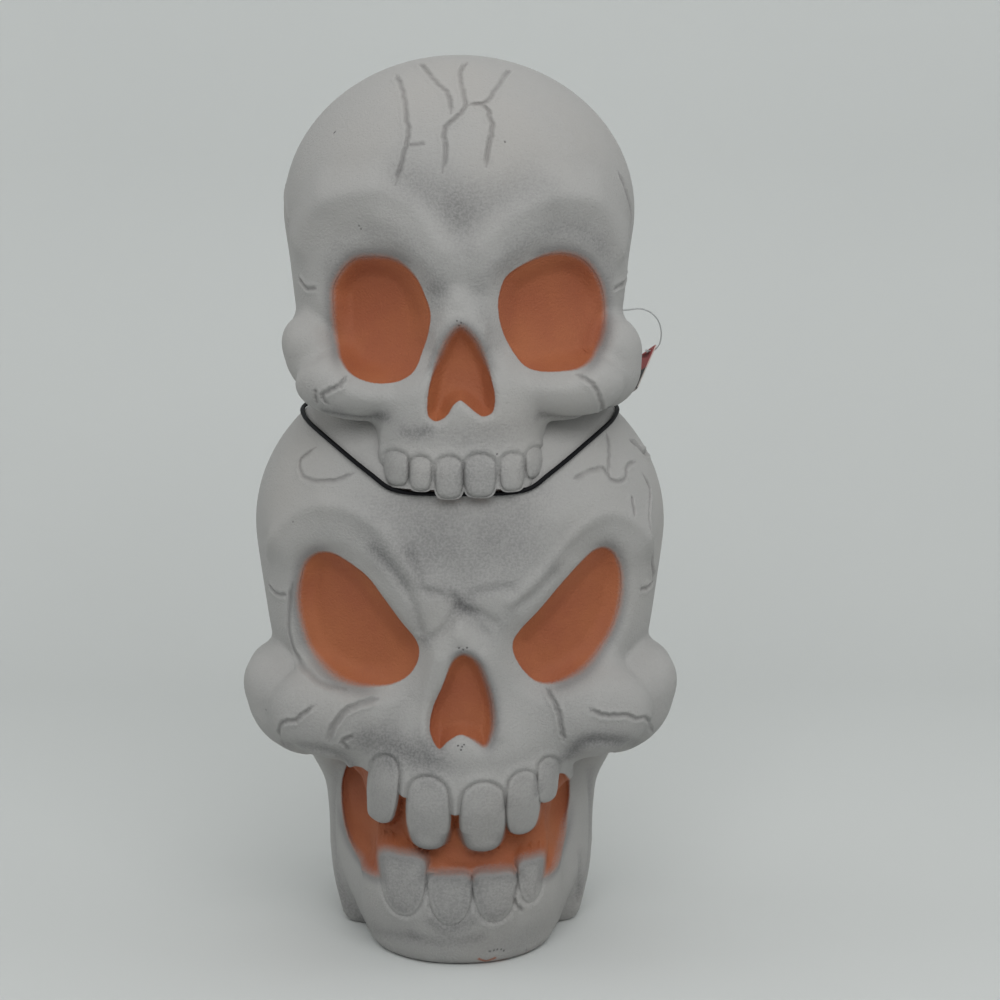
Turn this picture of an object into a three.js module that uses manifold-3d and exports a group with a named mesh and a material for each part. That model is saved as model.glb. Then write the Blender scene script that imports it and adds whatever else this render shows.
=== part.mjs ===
// Light-up stack of two moulded foam skulls: an upper skull without a jaw seated on the crown of a larger
// lower skull. Both are hollow shells joined round an open neck, and one lamp clipped into the back of the
// lower skull lights them both. Its black lead is wound once round the neck, and the rest is coiled behind.
// Millimetres, +Z up, the faces look along -Y, origin at the middle of the foot.
import * as THREE from "three";
import { mergeVertices } from "three/addons/utils/BufferGeometryUtils.js";
import Module from "manifold-3d";

const wasm = await Module();
wasm.setup();

// Fits shared by the pieces
const seatGap = 0.3;
const overrun = 2;

// Foam shells
const wall = 5;
const socketDepth = 20;
const mouthDepth = 14;
const toothProud = 4;
const toothRoot = 4;
const blend = 16;
const castHalvingsCount = 28;

// Lower skull, and the steps that each of its surfaces is cast in
const lowerSkull = { halfWidth: 150, halfDepth: 125, height: 409, foot: 0 };
const lowerCast = { outerSteps: 10, floorSteps: 6, cavitySteps: 7, pocketSteps: 5 };
const footThickness = 5;

// Upper skull: its height is counted from the foot of its teeth, which hang down in front of the crown
const teethDrop = 89;
const upperSkull = { halfWidth: 123, halfDepth: 120, height: 290, foot: lowerSkull.height - teethDrop };
const upperCast = { outerSteps: 9, floorSteps: 6, cavitySteps: 6, pocketSteps: 4 };
const gumRise = 6;
const muzzleOverhang = 10.7;

// Neck passage between the two shells
const neckRadius = 40;
const collarWall = 4;
const collarRise = 8;
const collarRoot = 20;

// Lamp hole in the back of the lower skull
const lampHeightShare = 0.7335;
const lampZ = lampHeightShare * lowerSkull.height;
const lampPadRadius = 21;
const lampPadSink = 7;
const lampBossRadius = 27;
const lampHoleRadius = 14;

// Lamp holder, its spring clips and its contacts
const holderBarrelRadius = 13.4;
const holderReach = 22;
const holderBore = 7.05;
const holderFloor = 5;
const holderFlangeRadius = 18;
const holderFlangeThickness = 3;
const holderTailHole = 3.5;
const clipThickness = 0.8;
const clipWidth = 8;
const clipFoot = 10;
const clipLeg = 9;
const screwShellWall = 0.5;
const screwShellLength = 16;
const contactRadius = 2.5;
const contactHeight = 1.6;

// Bulb
const bulbCapRadius = 5.5;
const bulbCapWall = 0.6;
const bulbCapFloor = 1.5;
const bulbCapLength = 15;
const bulbThreads = 5;
const bulbThreadRise = 0.45;
const bulbPipRadius = 2;
const bulbPipLength = 1.4;
const bulbGlassRadius = 11;
const bulbGlassLength = 38;
const bulbGlassWall = 0.7;
const stemRadius = 2.2;
const stemLength = 24;
const filamentWire = 0.9;
const filamentRise = 9;
const filamentSpread = 3.5;

// Lead and its strain relief
const leadDiameter = 3;
const leadSides = 8;
const riseSteps = 12;
const wrapSteps = 46;
const dropSteps = 30;
const riseShare = 0.09;
const wrapShare = 0.64;
const reliefLength = 22;
const reliefBaseRadius = 5.5;
const reliefTipRadius = 2.5;
const reliefRibs = 4;
const reliefRibRise = 0.5;
const reliefSpigotRadius = 3.2;
const reliefSpigotLength = 3.5;

// Coil of spare lead, in two layers
const coilAt = { x: 52, y: 154 };
const coilRadius = 18;
const coilTurnsPerLayer = 2.75;
const coilClimbShare = 0.25;
const coilPitch = 3.6;
const coilStepsPerTurn = 24;
const coilSides = 6;
const coilTail = 24;
const coilEndSteps = 4;

// Inline switch
const switchLength = 46;
const switchWidth = 17;
const switchHeight = 13;
const switchCorner = 5;
const switchBevel = 1.2;
const switchParting = 6;
const rockerLength = 13;
const rockerWidth = 8;
const rockerPivotDepth = 3.2;
const rockerDepth = 3;
const rockerCrown = 3.2;
const rockerTilt = THREE.MathUtils.degToRad(12);
const rockerPinRadius = 1.2;
const rockerPinLength = 10.6;
const screwSpacing = 34;
const screwRadius = 1.4;
const screwHeadRadius = 2.6;
const screwHeadHeight = 1.3;
const screwLength = 8;

// Plug
const plugLength = 30;
const plugWidth = 22;
const plugHeight = 14;
const plugCorner = 4;
const plugBevel = 1.5;
const plugNeckRadius = 4.5;
const plugNeckLength = 11;
const bladeLength = 17;
const bladeRoot = 6;
const bladeThickness = 1.5;
const bladeWidths = { narrow: 6.3, wide: 7.9 };
const bladeSpacing = 12.7;

// Hang tag on its nylon fastener
const tagWidth = 24;
const tagLength = 42;
const tagThickness = 0.8;
const tagCorner = 2;
const tagHoleRadius = 1.6;
const tagHoleInset = { across: 5, down: 4 };
const tagClearance = { cheek: 15.64, crown: 24 };
const fastenerDiameter = 1;
const fastenerHoleRadius = 0.9;
const fastenerBarLength = 10;
const fastenerBarRadius = 0.8;
const fastenerBarSink = 8.75;
const paddleLength = 6;
const paddleRadius = 0.9;
const fastenerSteps = 12;
const fastenerSides = 6;

// Solid from a closed geometry, with its shared vertices merged.
function solidOf(geometry) {
  const bare = geometry.clone();
  bare.deleteAttribute("normal");
  bare.deleteAttribute("uv");
  const merged = mergeVertices(bare, 1e-4);
  return new wasm.Manifold(new wasm.Mesh({
    numProp: 3,
    vertProperties: merged.attributes.position.array,
    triVerts: new Uint32Array(merged.index.array),
  }));
}

// Geometry from a solid, for a THREE.Mesh.
function geometryOf(solid) {
  const mesh = solid.getMesh();
  return new THREE.BufferGeometry()
    .setAttribute("position", new THREE.BufferAttribute(new Float32Array(mesh.vertProperties), 3))
    .setIndex(new THREE.BufferAttribute(new Uint32Array(mesh.triVerts), 1));
}

// Cylinder solid along Y, from one y to another.
function cylinderAlongY(radius, x, z, fromY, toY, sides = 32) {
  const body = new THREE.CylinderGeometry(radius, radius, toY - fromY, sides);
  return solidOf(body.translate(x, (fromY + toY) / 2, z));
}

// Cylinder solid along Z, from one z to another.
function cylinderAlongZ(radius, x, y, fromZ, toZ, sides = 32) {
  const body = new THREE.CylinderGeometry(radius, radius, toZ - fromZ, sides);
  return solidOf(body.rotateX(Math.PI / 2).translate(x, y, (fromZ + toZ) / 2));
}

// Box solid between two corners.
function boxBetween(low, high) {
  const size = high.map((value, axis) => value - low[axis]);
  const middle = high.map((value, axis) => (value + low[axis]) / 2);
  return solidOf(new THREE.BoxGeometry(...size).translate(...middle));
}

// Rough distance from a point to an ellipsoid's surface, negative inside.
function ellipsoid(centre, radii) {
  return (point) => {
    const a = point.map((value, axis) => (value - centre[axis]) / radii[axis]);
    const b = a.map((value, axis) => value / radii[axis]);
    const reach = Math.hypot(...a);
    return reach * (reach - 1) / Math.max(Math.hypot(...b), 1e-9);
  };
}

// Distance from a point to a block with round corners, negative inside.
function block(centre, half, corner) {
  return (point) => {
    const q = point.map((value, axis) => Math.abs(value - centre[axis]) - half[axis] + corner);
    const outside = Math.hypot(...q.map((value) => Math.max(value, 0)));
    return outside + Math.min(Math.max(...q), 0) - corner;
  };
}

// Distance from a point to a straight ridge of round section, negative inside.
function ridge(from, to, radius) {
  const along = to.map((value, axis) => value - from[axis]);
  const lengthSquared = along.reduce((sum, value) => sum + value * value, 0);
  return (point) => {
    const offset = point.map((value, axis) => value - from[axis]);
    const dot = offset.reduce((sum, value, axis) => sum + value * along[axis], 0);
    const share = Math.min(Math.max(dot / lengthSquared, 0), 1);
    return Math.hypot(...offset.map((value, axis) => value - share * along[axis])) - radius;
  };
}

// Smooth union of several distances.
function melted(forms, softness) {
  return (point) => forms.map((form) => form(point)).reduce((a, b) => {
    const mix = Math.max(softness - Math.abs(a - b), 0) / softness;
    return Math.min(a, b) - mix * mix * softness / 4;
  });
}

// How far a form reaches from a point inside it in one direction, at one level of the form.
function reachOf(form, from, direction, level = 0) {
  let near = 0;
  let far = 2 * Math.hypot(lowerSkull.height, lowerSkull.halfWidth);
  for (let halving = 0; halving < castHalvingsCount; halving++) {
    const middle = (near + far) / 2;
    if (form(from.map((value, axis) => value + middle * direction[axis])) < level) near = middle;
    else far = middle;
  }
  return near;
}

// Closed solid of a form at one level, found by casting from a centre along the corners of a geodesic ball.
function castForm(form, centre, steps, level) {
  const ball = new THREE.IcosahedronGeometry(1, steps);
  ball.deleteAttribute("normal");
  ball.deleteAttribute("uv");
  const geometry = mergeVertices(ball, 1e-5);
  const position = geometry.attributes.position;
  for (let i = 0; i < position.count; i++) {
    const ray = new THREE.Vector3().fromBufferAttribute(position, i).normalize().toArray();
    const reach = reachOf(form, centre, ray, level);
    position.setXYZ(i, ...ray.map((value, axis) => centre[axis] + reach * value));
  }
  return solidOf(geometry);
}

// Turns shares of a skull's half width, half depth and height into a size or a place.
function sizeInSkull(skull, shares) {
  return [shares[0] * skull.halfWidth, shares[1] * skull.halfDepth, shares[2] * skull.height];
}

function inSkull(skull, shares) {
  const [x, y, z] = sizeInSkull(skull, shares);
  return [x, y, skull.foot + z];
}

// The masses that melt into a skull, in shares of its half width, half depth and height.
// A mass with a mirrored twin is given once, for the right-hand side.
const lowerMassShares = {
  cranium: { at: [0, 0.064, 0.707], radii: [0.96, 0.936, 0.293] },
  temples: { at: [0, -0.04, 0.575], radii: [0.9, 0.85, 0.293] },
  muzzle: { at: [0, -0.38, 0.34], radii: [0.52, 0.588, 0.22] },
  noseBridge: { at: [0, -0.74, 0.505], radii: [0.15, 0.22, 0.09] },
  nape: { at: [0, 0.2, 0.3], radii: [0.62, 0.6, 0.3] },
};
const lowerTwinShares = {
  cheek: { at: [0.785, -0.24, 0.416], radii: [0.215, 0.34, 0.095] },
  cheekArch: { at: [0.52, -0.58, 0.42], radii: [0.34, 0.27, 0.083] },
  ramus: { at: [0.6, 0.12, 0.38], radii: [0.16, 0.36, 0.13] },
};
const lowerBlockShares = {
  chin: { at: [0, -0.35, 0.12], half: [0.46, 0.5, 0.2], corner: 0.36 },
  jaw: { at: [0, 0.14, 0.14], half: [0.632, 0.56, 0.21], corner: 0.4 },
};
const lowerBrowShares = {
  from: [0.12, -0.8, 0.57], knee: [0.5, -0.72, 0.71], to: [0.82, -0.42, 0.7], thick: 0.13,
};

const upperMassShares = {
  cranium: { at: [0, 0.06, 0.638], radii: [0.984, 0.94, 0.362] },
  temples: { at: [0, -0.06, 0.466], radii: [0.925, 0.82, 0.33] },
  noseBridge: { at: [0, -0.77, 0.345], radii: [0.16, 0.19, 0.09] },
};
const upperTwinShares = {
  cheek: { at: [0.79, -0.29, 0.295], radii: [0.2, 0.3, 0.108] },
  cheekArch: { at: [0.5, -0.6, 0.245], radii: [0.38, 0.27, 0.09] },
};
const upperBlockShares = {
  muzzle: { at: [0, -0.42, 0.06], half: [0.445, 0.53, 0.3], corner: 0.34 },
  neck: { at: [0, 0.02, 0.16], half: [0.68, 0.66, 0.3], corner: 0.6 },
};
const upperBrowShares = {
  from: [0.12, -0.82, 0.5], knee: [0.45, -0.76, 0.6], to: [0.8, -0.45, 0.5], thick: 0.13,
};

// Melts a skull's masses into one form. A block that a front is named for stands back from that front.
function skullForm(skull, masses, twins, blocks, brow, fronts = {}) {
  const mirrored = (shares) => [-shares[0], shares[1], shares[2]];
  const thick = brow.thick * skull.halfWidth;
  const forms = Object.values(masses).map((m) => ellipsoid(inSkull(skull, m.at), sizeInSkull(skull, m.radii)));
  for (const [name, b] of Object.entries(blocks)) {
    const [centre, half] = [inSkull(skull, b.at), sizeInSkull(skull, b.half)];
    if (name in fronts) centre[1] = half[1] - fronts[name];
    forms.push(block(centre, half, b.corner * skull.halfWidth));
  }
  for (const side of [(shares) => shares, mirrored]) {
    for (const t of Object.values(twins))
      forms.push(ellipsoid(inSkull(skull, side(t.at)), sizeInSkull(skull, t.radii)));
    const [from, knee, to] = [brow.from, brow.knee, brow.to].map((at) => inSkull(skull, side(at)));
    forms.push(ridge(from, knee, thick), ridge(knee, to, thick));
  }
  return melted(forms, blend);
}

const lowerForm = skullForm(lowerSkull, lowerMassShares, lowerTwinShares, lowerBlockShares, lowerBrowShares);
const lowerCastShare = [0, 0, 0.46];
const upperCastShare = [0, 0, 0.44];

// The upper muzzle overhangs the crown at the height of its gums
const crownFront = reachOf(lowerForm, [0, 0, upperSkull.foot + gumRise], [0, -1, 0]);
const upperForm = skullForm(upperSkull, upperMassShares, upperTwinShares, upperBlockShares, upperBrowShares, {
  muzzle: crownFront + muzzleOverhang,
});

// Openings and teeth over the face: their middle and half size in shares of the skull's half width and height,
// and their outline in shares of that half size, with x to the viewer's right and z up.
const upperOpeningShares = {
  leftEye: {
    at: [-0.4146, 0.3931], half: [0.2642, 0.1414],
    outline: [[-0.97, 0.54], [-0.59, 0.93], [-0.16, 1], [0.32, 0.94], [0.7, 0.69], [1, 0.1], [0.84, -0.49],
      [0.41, -0.95], [-0.1, -1], [-0.6, -0.84], [-0.9, -0.45], [-1, 0.19]],
  },
  rightEye: {
    at: [0.4837, 0.4069], half: [0.2846, 0.131],
    outline: [[-0.99, 0.29], [-0.86, 0.6], [-0.52, 0.82], [0, 1], [0.4, 0.97], [0.9, 0.5], [1, 0.09],
      [0.91, -0.32], [0.58, -0.82], [0.1, -1], [-0.4, -0.96], [-0.74, -0.65], [-1, 0]],
  },
  nose: {
    at: [0.0081, 0.2741], half: [0.1748, 0.1034],
    outline: [[0, 1], [-0.36, 0.8], [-0.64, 0.39], [-0.9, -0.12], [-1, -0.6], [-0.8, -1], [-0.46, -0.9],
      [-0.05, -0.56], [0.44, -0.82], [0.75, -0.9], [1, -0.54], [0.9, -0.05], [0.6, 0.4], [0.36, 0.8]],
  },
};
const lowerOpeningShares = {
  leftEye: {
    at: [-0.4433, 0.577], half: [0.2633, 0.1064],
    outline: [[-1, 0.59], [-0.92, 0.83], [-0.6, 1], [-0.19, 0.89], [0.14, 0.68], [0.42, 0.37], [0.71, 0.02],
      [1, -0.41], [0.9, -0.72], [0.56, -0.96], [0.1, -1], [-0.39, -0.81], [-0.68, -0.5], [-0.89, -0.06]],
  },
  rightEye: {
    at: [0.47, 0.5807], half: [0.24, 0.1076],
    outline: [[-1, -0.31], [-0.87, -0.14], [-0.53, 0.14], [-0.12, 0.51], [0.25, 0.81], [0.65, 1], [0.89, 0.91],
      [1, 0.5], [0.91, -0.09], [0.73, -0.44], [0.42, -0.75], [0, -0.94], [-0.45, -1], [-0.84, -0.75]],
  },
  nose: {
    at: [0.0033, 0.456], half: [0.1367, 0.077],
    outline: [[0.06, 1], [-0.25, 0.88], [-0.61, 0.31], [-0.94, -0.24], [-1, -0.67], [-0.71, -1], [-0.35, -0.82],
      [0, -0.7], [0.38, -0.82], [0.75, -0.96], [1, -0.6], [0.95, -0.1], [0.47, 0.85]],
  },
};
const mouthShares = {
  at: [-0.01, 0.2433], half: [0.5167, 0.0941],
  outline: [[-0.97, 1], [-1, 0.6], [-0.97, 0.1], [-0.89, -0.51], [-0.71, -1], [0.77, -1], [0.9, -0.5],
    [0.98, 0.2], [1, 0.72], [0.94, 0.95]],
};
const toothShares = [[-0.82, 1], [-1, 0.35], [-0.95, -0.5], [-0.6, -0.93], [0, -1], [0.6, -0.93], [0.95, -0.5],
  [1, 0.35], [0.82, 1]];
const upperTeethShares = [
  { at: [-0.3374, 0.0621], half: [0.065, 0.0355] },
  { at: [-0.2073, 0.0538], half: [0.0569, 0.0352] },
  { at: [-0.0585, 0.0455], half: [0.0724, 0.0434] },
  { at: [0.1024, 0.0497], half: [0.0813, 0.0445] },
  { at: [0.2724, 0.0559], half: [0.0642, 0.039] },
  { at: [0.3927, 0.07], half: [0.0447, 0.0321] },
];
const lowerTeethShares = [
  { at: [-0.35, 0.2983], half: [0.0667, 0.0592], lean: -0.12 },
  { at: [-0.1447, 0.2689], half: [0.092, 0.0619] },
  { at: [0.0947, 0.2631], half: [0.0967, 0.0592] },
  { at: [0.272, 0.28], half: [0.0733, 0.0538] },
  { at: [0.386, 0.3122], half: [0.0487, 0.0381] },
  { at: [-0.262, 0.1418], half: [0.1067, 0.0506], upward: true },
  { at: [-0.0507, 0.1222], half: [0.0993, 0.0421], upward: true },
  { at: [0.1473, 0.1252], half: [0.0987, 0.0411], upward: true },
  { at: [0.3113, 0.1443], half: [0.06, 0.0362], upward: true },
];

// Prism that runs from in front of a skull's face to just past its middle, over an outline grown by a margin.
function facePrism(skull, { at, half, outline = toothShares, lean = 0, upward = false }, margin = 0) {
  const sign = upward ? -1 : 1;
  const [x, , z] = inSkull(skull, [at[0], 0, at[1]]);
  const [halfX, , halfZ] = sizeInSkull(skull, [half[0], 0, half[1]]).map((size) => size + margin);
  const corners = outline.map(([u, v]) => new THREE.Vector2(
    x + sign * (u * halfX - lean * v * halfZ),
    z + sign * v * halfZ,
  ));
  if (THREE.ShapeUtils.isClockWise(corners)) corners.reverse();
  const depth = lowerSkull.halfDepth + lowerSkull.halfWidth;
  const prism = new THREE.ExtrudeGeometry(new THREE.Shape(corners), { depth, bevelEnabled: false });
  return solidOf(prism.rotateX(Math.PI / 2).translate(0, wall, 0));
}

// One solid of several.
const joined = (solids) => solids.reduce((sum, solid) => sum.add(solid));

// A skull at one level of its form, with its openings sunk to a floor that follows the form.
function sunkForm({ skull, form, centre, cast }, level, openings) {
  const inside = level < 0;
  let solid = castForm(form, centre, inside ? cast.cavitySteps : cast.outerSteps, level);
  for (const { outlines, depth } of openings) {
    const floor = castForm(form, centre, inside ? cast.pocketSteps : cast.floorSteps, level - depth);
    const prisms = outlines.map((outline) => facePrism(skull, outline, inside ? wall : 0));
    solid = solid.subtract(joined(prisms).subtract(floor));
  }
  return solid;
}

// Teeth that stand proud of the form, rooted a little below a level.
function teethOn({ skull, form, centre, cast }, teeth, depth) {
  const proud = castForm(form, centre, cast.outerSteps, toothProud);
  const root = castForm(form, centre, cast.floorSteps, -depth);
  return joined(teeth.map((tooth) => facePrism(skull, tooth))).intersect(proud).subtract(root);
}

// Largest piece of a solid that a cut may have left in several.
function largest(solid) {
  return solid.decompose().reduce((best, piece) => (piece.volume() > best.volume() ? piece : best));
}

// Block under a height, over the whole floor of the skulls.
function below(z) {
  const reach = 2 * lowerSkull.halfWidth;
  return boxBetween([-reach, -reach, -reach], [reach, reach, z]);
}

// Seats of the lamp: the flat pad outside, and the flat face inside the boss behind it
const padY = lowerSkull.halfDepth - lampPadSink;
const bossY = padY - wall;
const collarTop = lowerSkull.height + collarRise;
const lower = {
  skull: lowerSkull, form: lowerForm, centre: inSkull(lowerSkull, lowerCastShare), cast: lowerCast,
};
const upper = {
  skull: upperSkull, form: upperForm, centre: inSkull(upperSkull, upperCastShare), cast: upperCast,
};

function makeLowerShell() {
  const sunk = [
    { outlines: Object.values(lowerOpeningShares), depth: socketDepth },
    { outlines: [mouthShares], depth: mouthDepth },
  ];
  const behind = padY + 2 * lowerSkull.halfDepth;
  const collar = cylinderAlongZ(neckRadius + collarWall, 0, 0, lowerSkull.height - collarRoot, collarTop);
  const outer = sunkForm(lower, 0, sunk)
    .add(teethOn(lower, lowerTeethShares, mouthDepth + toothRoot))
    .subtract(below(0))
    .add(collar)
    .subtract(cylinderAlongY(lampPadRadius, 0, lampZ, padY, behind));
  const boss = cylinderAlongY(lampBossRadius, 0, lampZ, bossY, behind);
  const cavity = largest(sunkForm(lower, -wall, sunk)
    .subtract(below(footThickness))
    .subtract(boss));
  return outer
    .subtract(cavity)
    .subtract(cylinderAlongZ(neckRadius, 0, 0, lowerSkull.height / 2, collarTop + overrun))
    .subtract(cylinderAlongY(lampHoleRadius, 0, lampZ, bossY - overrun, behind));
}

// Where the fastener's bar sits behind the foam, and its thread goes out through it
const [, fastenerY, fastenerZ] = inSkull(upperSkull, [0, 0.042, 0.402]);
const fastenerX = reachOf(upperForm, [0, fastenerY, fastenerZ], [1, 0, 0]) - fastenerBarSink;

function makeUpperShell() {
  const sunk = [{ outlines: Object.values(upperOpeningShares), depth: socketDepth }];
  const crown = castForm(lowerForm, lower.centre, lowerCast.outerSteps, seatGap);
  const floor = castForm(lowerForm, lower.centre, lowerCast.floorSteps, seatGap + wall);
  const outer = sunkForm(upper, 0, sunk)
    .subtract(below(upperSkull.foot + gumRise))
    .add(teethOn(upper, upperTeethShares, toothRoot))
    .subtract(crown);
  const cavity = largest(sunkForm(upper, -wall, sunk)
    .subtract(below(upperSkull.foot + gumRise + wall))
    .subtract(floor));
  const neckHole = neckRadius + collarWall + seatGap;
  const thread = new THREE.CylinderGeometry(fastenerHoleRadius, fastenerHoleRadius, upperSkull.halfWidth, 12);
  thread.rotateZ(Math.PI / 2).translate(fastenerX + upperSkull.halfWidth / 2, fastenerY, fastenerZ);
  return outer
    .subtract(cavity)
    .subtract(cylinderAlongZ(neckHole, 0, 0, lowerSkull.height / 2, lowerSkull.height + wall + overrun))
    .subtract(solidOf(thread));
}

// Materials
const materials = {
  foam: new THREE.MeshStandardMaterial({ name: "painted_foam", color: 0xb4b3ac, roughness: 0.85 }),
  black: new THREE.MeshStandardMaterial({ name: "black_plastic", color: 0x17171a, roughness: 0.5 }),
  vinyl: new THREE.MeshStandardMaterial({ name: "lead_vinyl", color: 0x1b1b1e, roughness: 0.42 }),
  brass: new THREE.MeshStandardMaterial({ name: "brass", color: 0xc9a24e, roughness: 0.35, metalness: 1 }),
  steel: new THREE.MeshStandardMaterial({ name: "steel", color: 0xb9bcc0, roughness: 0.35, metalness: 1 }),
  glass: new THREE.MeshStandardMaterial({ name: "bulb_glass", color: 0xe9ebe8, roughness: 0.08 }),
  nylon: new THREE.MeshStandardMaterial({ name: "nylon", color: 0xd8d8d6, roughness: 0.4 }),
  card: new THREE.MeshStandardMaterial({ name: "tag_card", color: 0xa63a3d, roughness: 0.6 }),
};

const skulls = new THREE.Group();
skulls.name = "light_up_skull_stack";

// Adds a named piece to the assembly and gives it back, to be placed.
function addPiece(name, geometry, material, parent = skulls) {
  const piece = new THREE.Mesh(geometry, material);
  piece.name = name;
  parent.add(piece);
  return piece;
}

// Round piece about Y, from a list of [radius, y] that starts and ends on the axis or closes on itself.
function turned(profile, sides = 32) {
  return new THREE.LatheGeometry(profile.map(([radius, y]) => new THREE.Vector2(radius, y)), sides);
}

// Rounded plate outline about the origin.
function roundedOutline(length, width, corner) {
  const [x, y] = [length / 2, width / 2];
  return new THREE.Shape()
    .moveTo(x - corner, -y).absarc(x - corner, corner - y, corner, -Math.PI / 2, 0)
    .lineTo(x, y - corner).absarc(x - corner, y - corner, corner, 0, Math.PI / 2)
    .lineTo(corner - x, y).absarc(corner - x, y - corner, corner, Math.PI / 2, Math.PI)
    .lineTo(-x, corner - y).absarc(corner - x, corner - y, corner, Math.PI, 1.5 * Math.PI);
}

addPiece("lower_skull_shell", geometryOf(makeLowerShell()), materials.foam);
addPiece("upper_skull_shell", geometryOf(makeUpperShell()), materials.foam);

// Lamp: everything in this group lies on the lamp's own axis, with +Y pointing out of the back
const lamp = new THREE.Group();
lamp.position.set(0, 0, lampZ);
skulls.add(lamp);

const flangeY = padY + seatGap;
const holderOutY = flangeY + holderFlangeThickness;
const holderInY = holderOutY - holderReach;
const boreFloorY = holderOutY - holderFloor;
addPiece("lamp_holder", turned([
  [holderTailHole, holderOutY], [holderTailHole, boreFloorY], [holderBore, boreFloorY], [holderBore, holderInY],
  [holderBarrelRadius, holderInY], [holderBarrelRadius, flangeY], [holderFlangeRadius, flangeY],
  [holderFlangeRadius, holderOutY], [holderTailHole, holderOutY],
], 24), materials.black, lamp);

for (const [side, name] of [[-1, "spring_clip_left"], [1, "spring_clip_right"]]) {
  const inner = holderBarrelRadius + seatGap;
  const top = bossY - seatGap;
  const clip = new THREE.Shape([
    [inner, top - clipLeg], [inner + clipThickness, top - clipLeg], [inner + clipThickness, top - clipThickness],
    [inner + clipFoot, top - clipThickness], [inner + clipFoot, top], [inner, top],
  ].map(([x, y]) => new THREE.Vector2(side * x, y)));
  const strip = new THREE.ExtrudeGeometry(clip, { depth: clipWidth, bevelEnabled: false });
  addPiece(name, strip.translate(0, 0, -clipWidth / 2), materials.steel, lamp);
}

const contactTopY = boreFloorY - seatGap;
const contactFaceY = contactTopY - contactHeight;
addPiece("socket_contact", turned([[0, contactFaceY], [contactRadius, contactFaceY], [contactRadius, contactTopY],
  [0, contactTopY]], 20), materials.brass, lamp);

const screwShellOut = holderBore - seatGap;
const screwShellIn = screwShellOut - screwShellWall;
const screwShellTopY = boreFloorY - seatGap;
const screwShellFootY = screwShellTopY - screwShellLength;
addPiece("socket_screw_shell", turned([
  [screwShellIn, screwShellTopY], [screwShellIn, screwShellFootY], [screwShellOut, screwShellFootY],
  [screwShellOut, screwShellTopY], [screwShellIn, screwShellTopY],
]), materials.brass, lamp);

// Bulb, from its contact inwards
const pipTopY = contactFaceY - seatGap;
const capTopY = pipTopY - bulbPipLength;
const capFootY = capTopY - bulbCapLength;
const pipProfile = [[0, capTopY], [bulbPipRadius, capTopY], [bulbPipRadius / 2, pipTopY], [0, pipTopY]];
addPiece("bulb_contact", turned(pipProfile, 16), materials.brass, lamp);

const capFloorY = capTopY - seatGap - bulbCapFloor;
const threadPitch = (bulbCapLength - 2 * bulbCapFloor) / bulbThreads;
const threads = Array.from({ length: 2 * bulbThreads }, (_, i) => [
  bulbCapRadius + (i % 2 ? bulbThreadRise : 0), capFootY + bulbCapFloor + (i + 0.5) * threadPitch / 2,
]);
addPiece("bulb_cap", turned([
  [0, capFloorY], [bulbCapRadius - bulbCapWall, capFloorY], [bulbCapRadius - bulbCapWall, capFootY],
  [bulbCapRadius, capFootY], ...threads, [bulbCapRadius, capTopY - seatGap], [0, capTopY - seatGap],
], 16), materials.brass, lamp);

// Glass envelope: a cup that stands in the cap, with its open neck towards the contact
const glassShares = [[0, 1], [0.3, 0.97], [0.6, 0.86], [0.85, 0.68], [1, 0.45], [0.93, 0.28],
  [0.68, 0.14], [0.42, 0.06], [0.42, 0]];
const glassPoint = (radius) => ([out, along]) => [
  Math.max(out * radius, 0), capFootY + bulbCapFloor - along * (bulbGlassLength + radius - bulbGlassRadius),
];
const glassOuter = glassShares.map(glassPoint(bulbGlassRadius));
const glassInner = glassShares.map(glassPoint(bulbGlassRadius - bulbGlassWall)).reverse();
addPiece("bulb_glass", turned([...glassOuter, ...glassInner], 16), materials.glass, lamp);

const stemFootY = capFloorY - seatGap;
const stemTipY = stemFootY - stemLength;
const stemProfile = [[0, stemTipY], [stemRadius / 2, stemTipY], [stemRadius, stemFootY], [0, stemFootY]];
addPiece("bulb_stem", turned(stemProfile, 12), materials.glass, lamp);

// Closed tube of a given diameter along a curve.
function tubeAlong(curve, diameter, sides, steps) {
  const section = new THREE.Shape(Array.from({ length: sides }, (_, i) => {
    const angle = (i / sides) * 2 * Math.PI;
    return new THREE.Vector2(Math.cos(angle), Math.sin(angle)).multiplyScalar(diameter / 2);
  }));
  return new THREE.ExtrudeGeometry(section, { steps, extrudePath: curve, bevelEnabled: false });
}

// Smooth curve through points.
function curveThrough(points) {
  const curve = new THREE.CatmullRomCurve3(points.map((point) => new THREE.Vector3(...point)));
  curve.arcLengthDivisions = 20 * points.length;
  return curve;
}

const wireTop = stemTipY - seatGap - filamentWire / 2;
addPiece("bulb_filament", tubeAlong(curveThrough([
  [-stemRadius / 2, wireTop, 0], [-filamentSpread, wireTop - filamentRise / 2, 0],
  [-filamentSpread / 2, wireTop - filamentRise, 0], [filamentSpread / 2, wireTop - filamentRise, 0],
  [filamentSpread, wireTop - filamentRise / 2, 0], [stemRadius / 2, wireTop, 0],
]), filamentWire, fastenerSides, fastenerSteps), materials.steel, lamp);

// Strain relief: a spigot in the holder's tail hole and a ribbed taper outside it
const reliefFootY = holderOutY + seatGap;
const reliefTipY = reliefFootY + reliefLength;
const reliefRings = Array.from({ length: 2 * reliefRibs + 1 }, (_, i) => {
  const share = i / (2 * reliefRibs);
  const radius = THREE.MathUtils.lerp(reliefBaseRadius, reliefTipRadius, share);
  return [radius + (i % 2 ? reliefRibRise : 0), reliefFootY + share * reliefLength];
});
addPiece("strain_relief", turned([
  [0, reliefFootY - reliefSpigotLength], [reliefSpigotRadius, reliefFootY - reliefSpigotLength],
  [reliefSpigotRadius, reliefFootY], ...reliefRings, [0, reliefTipY],
], 14), materials.black, lamp);

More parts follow.
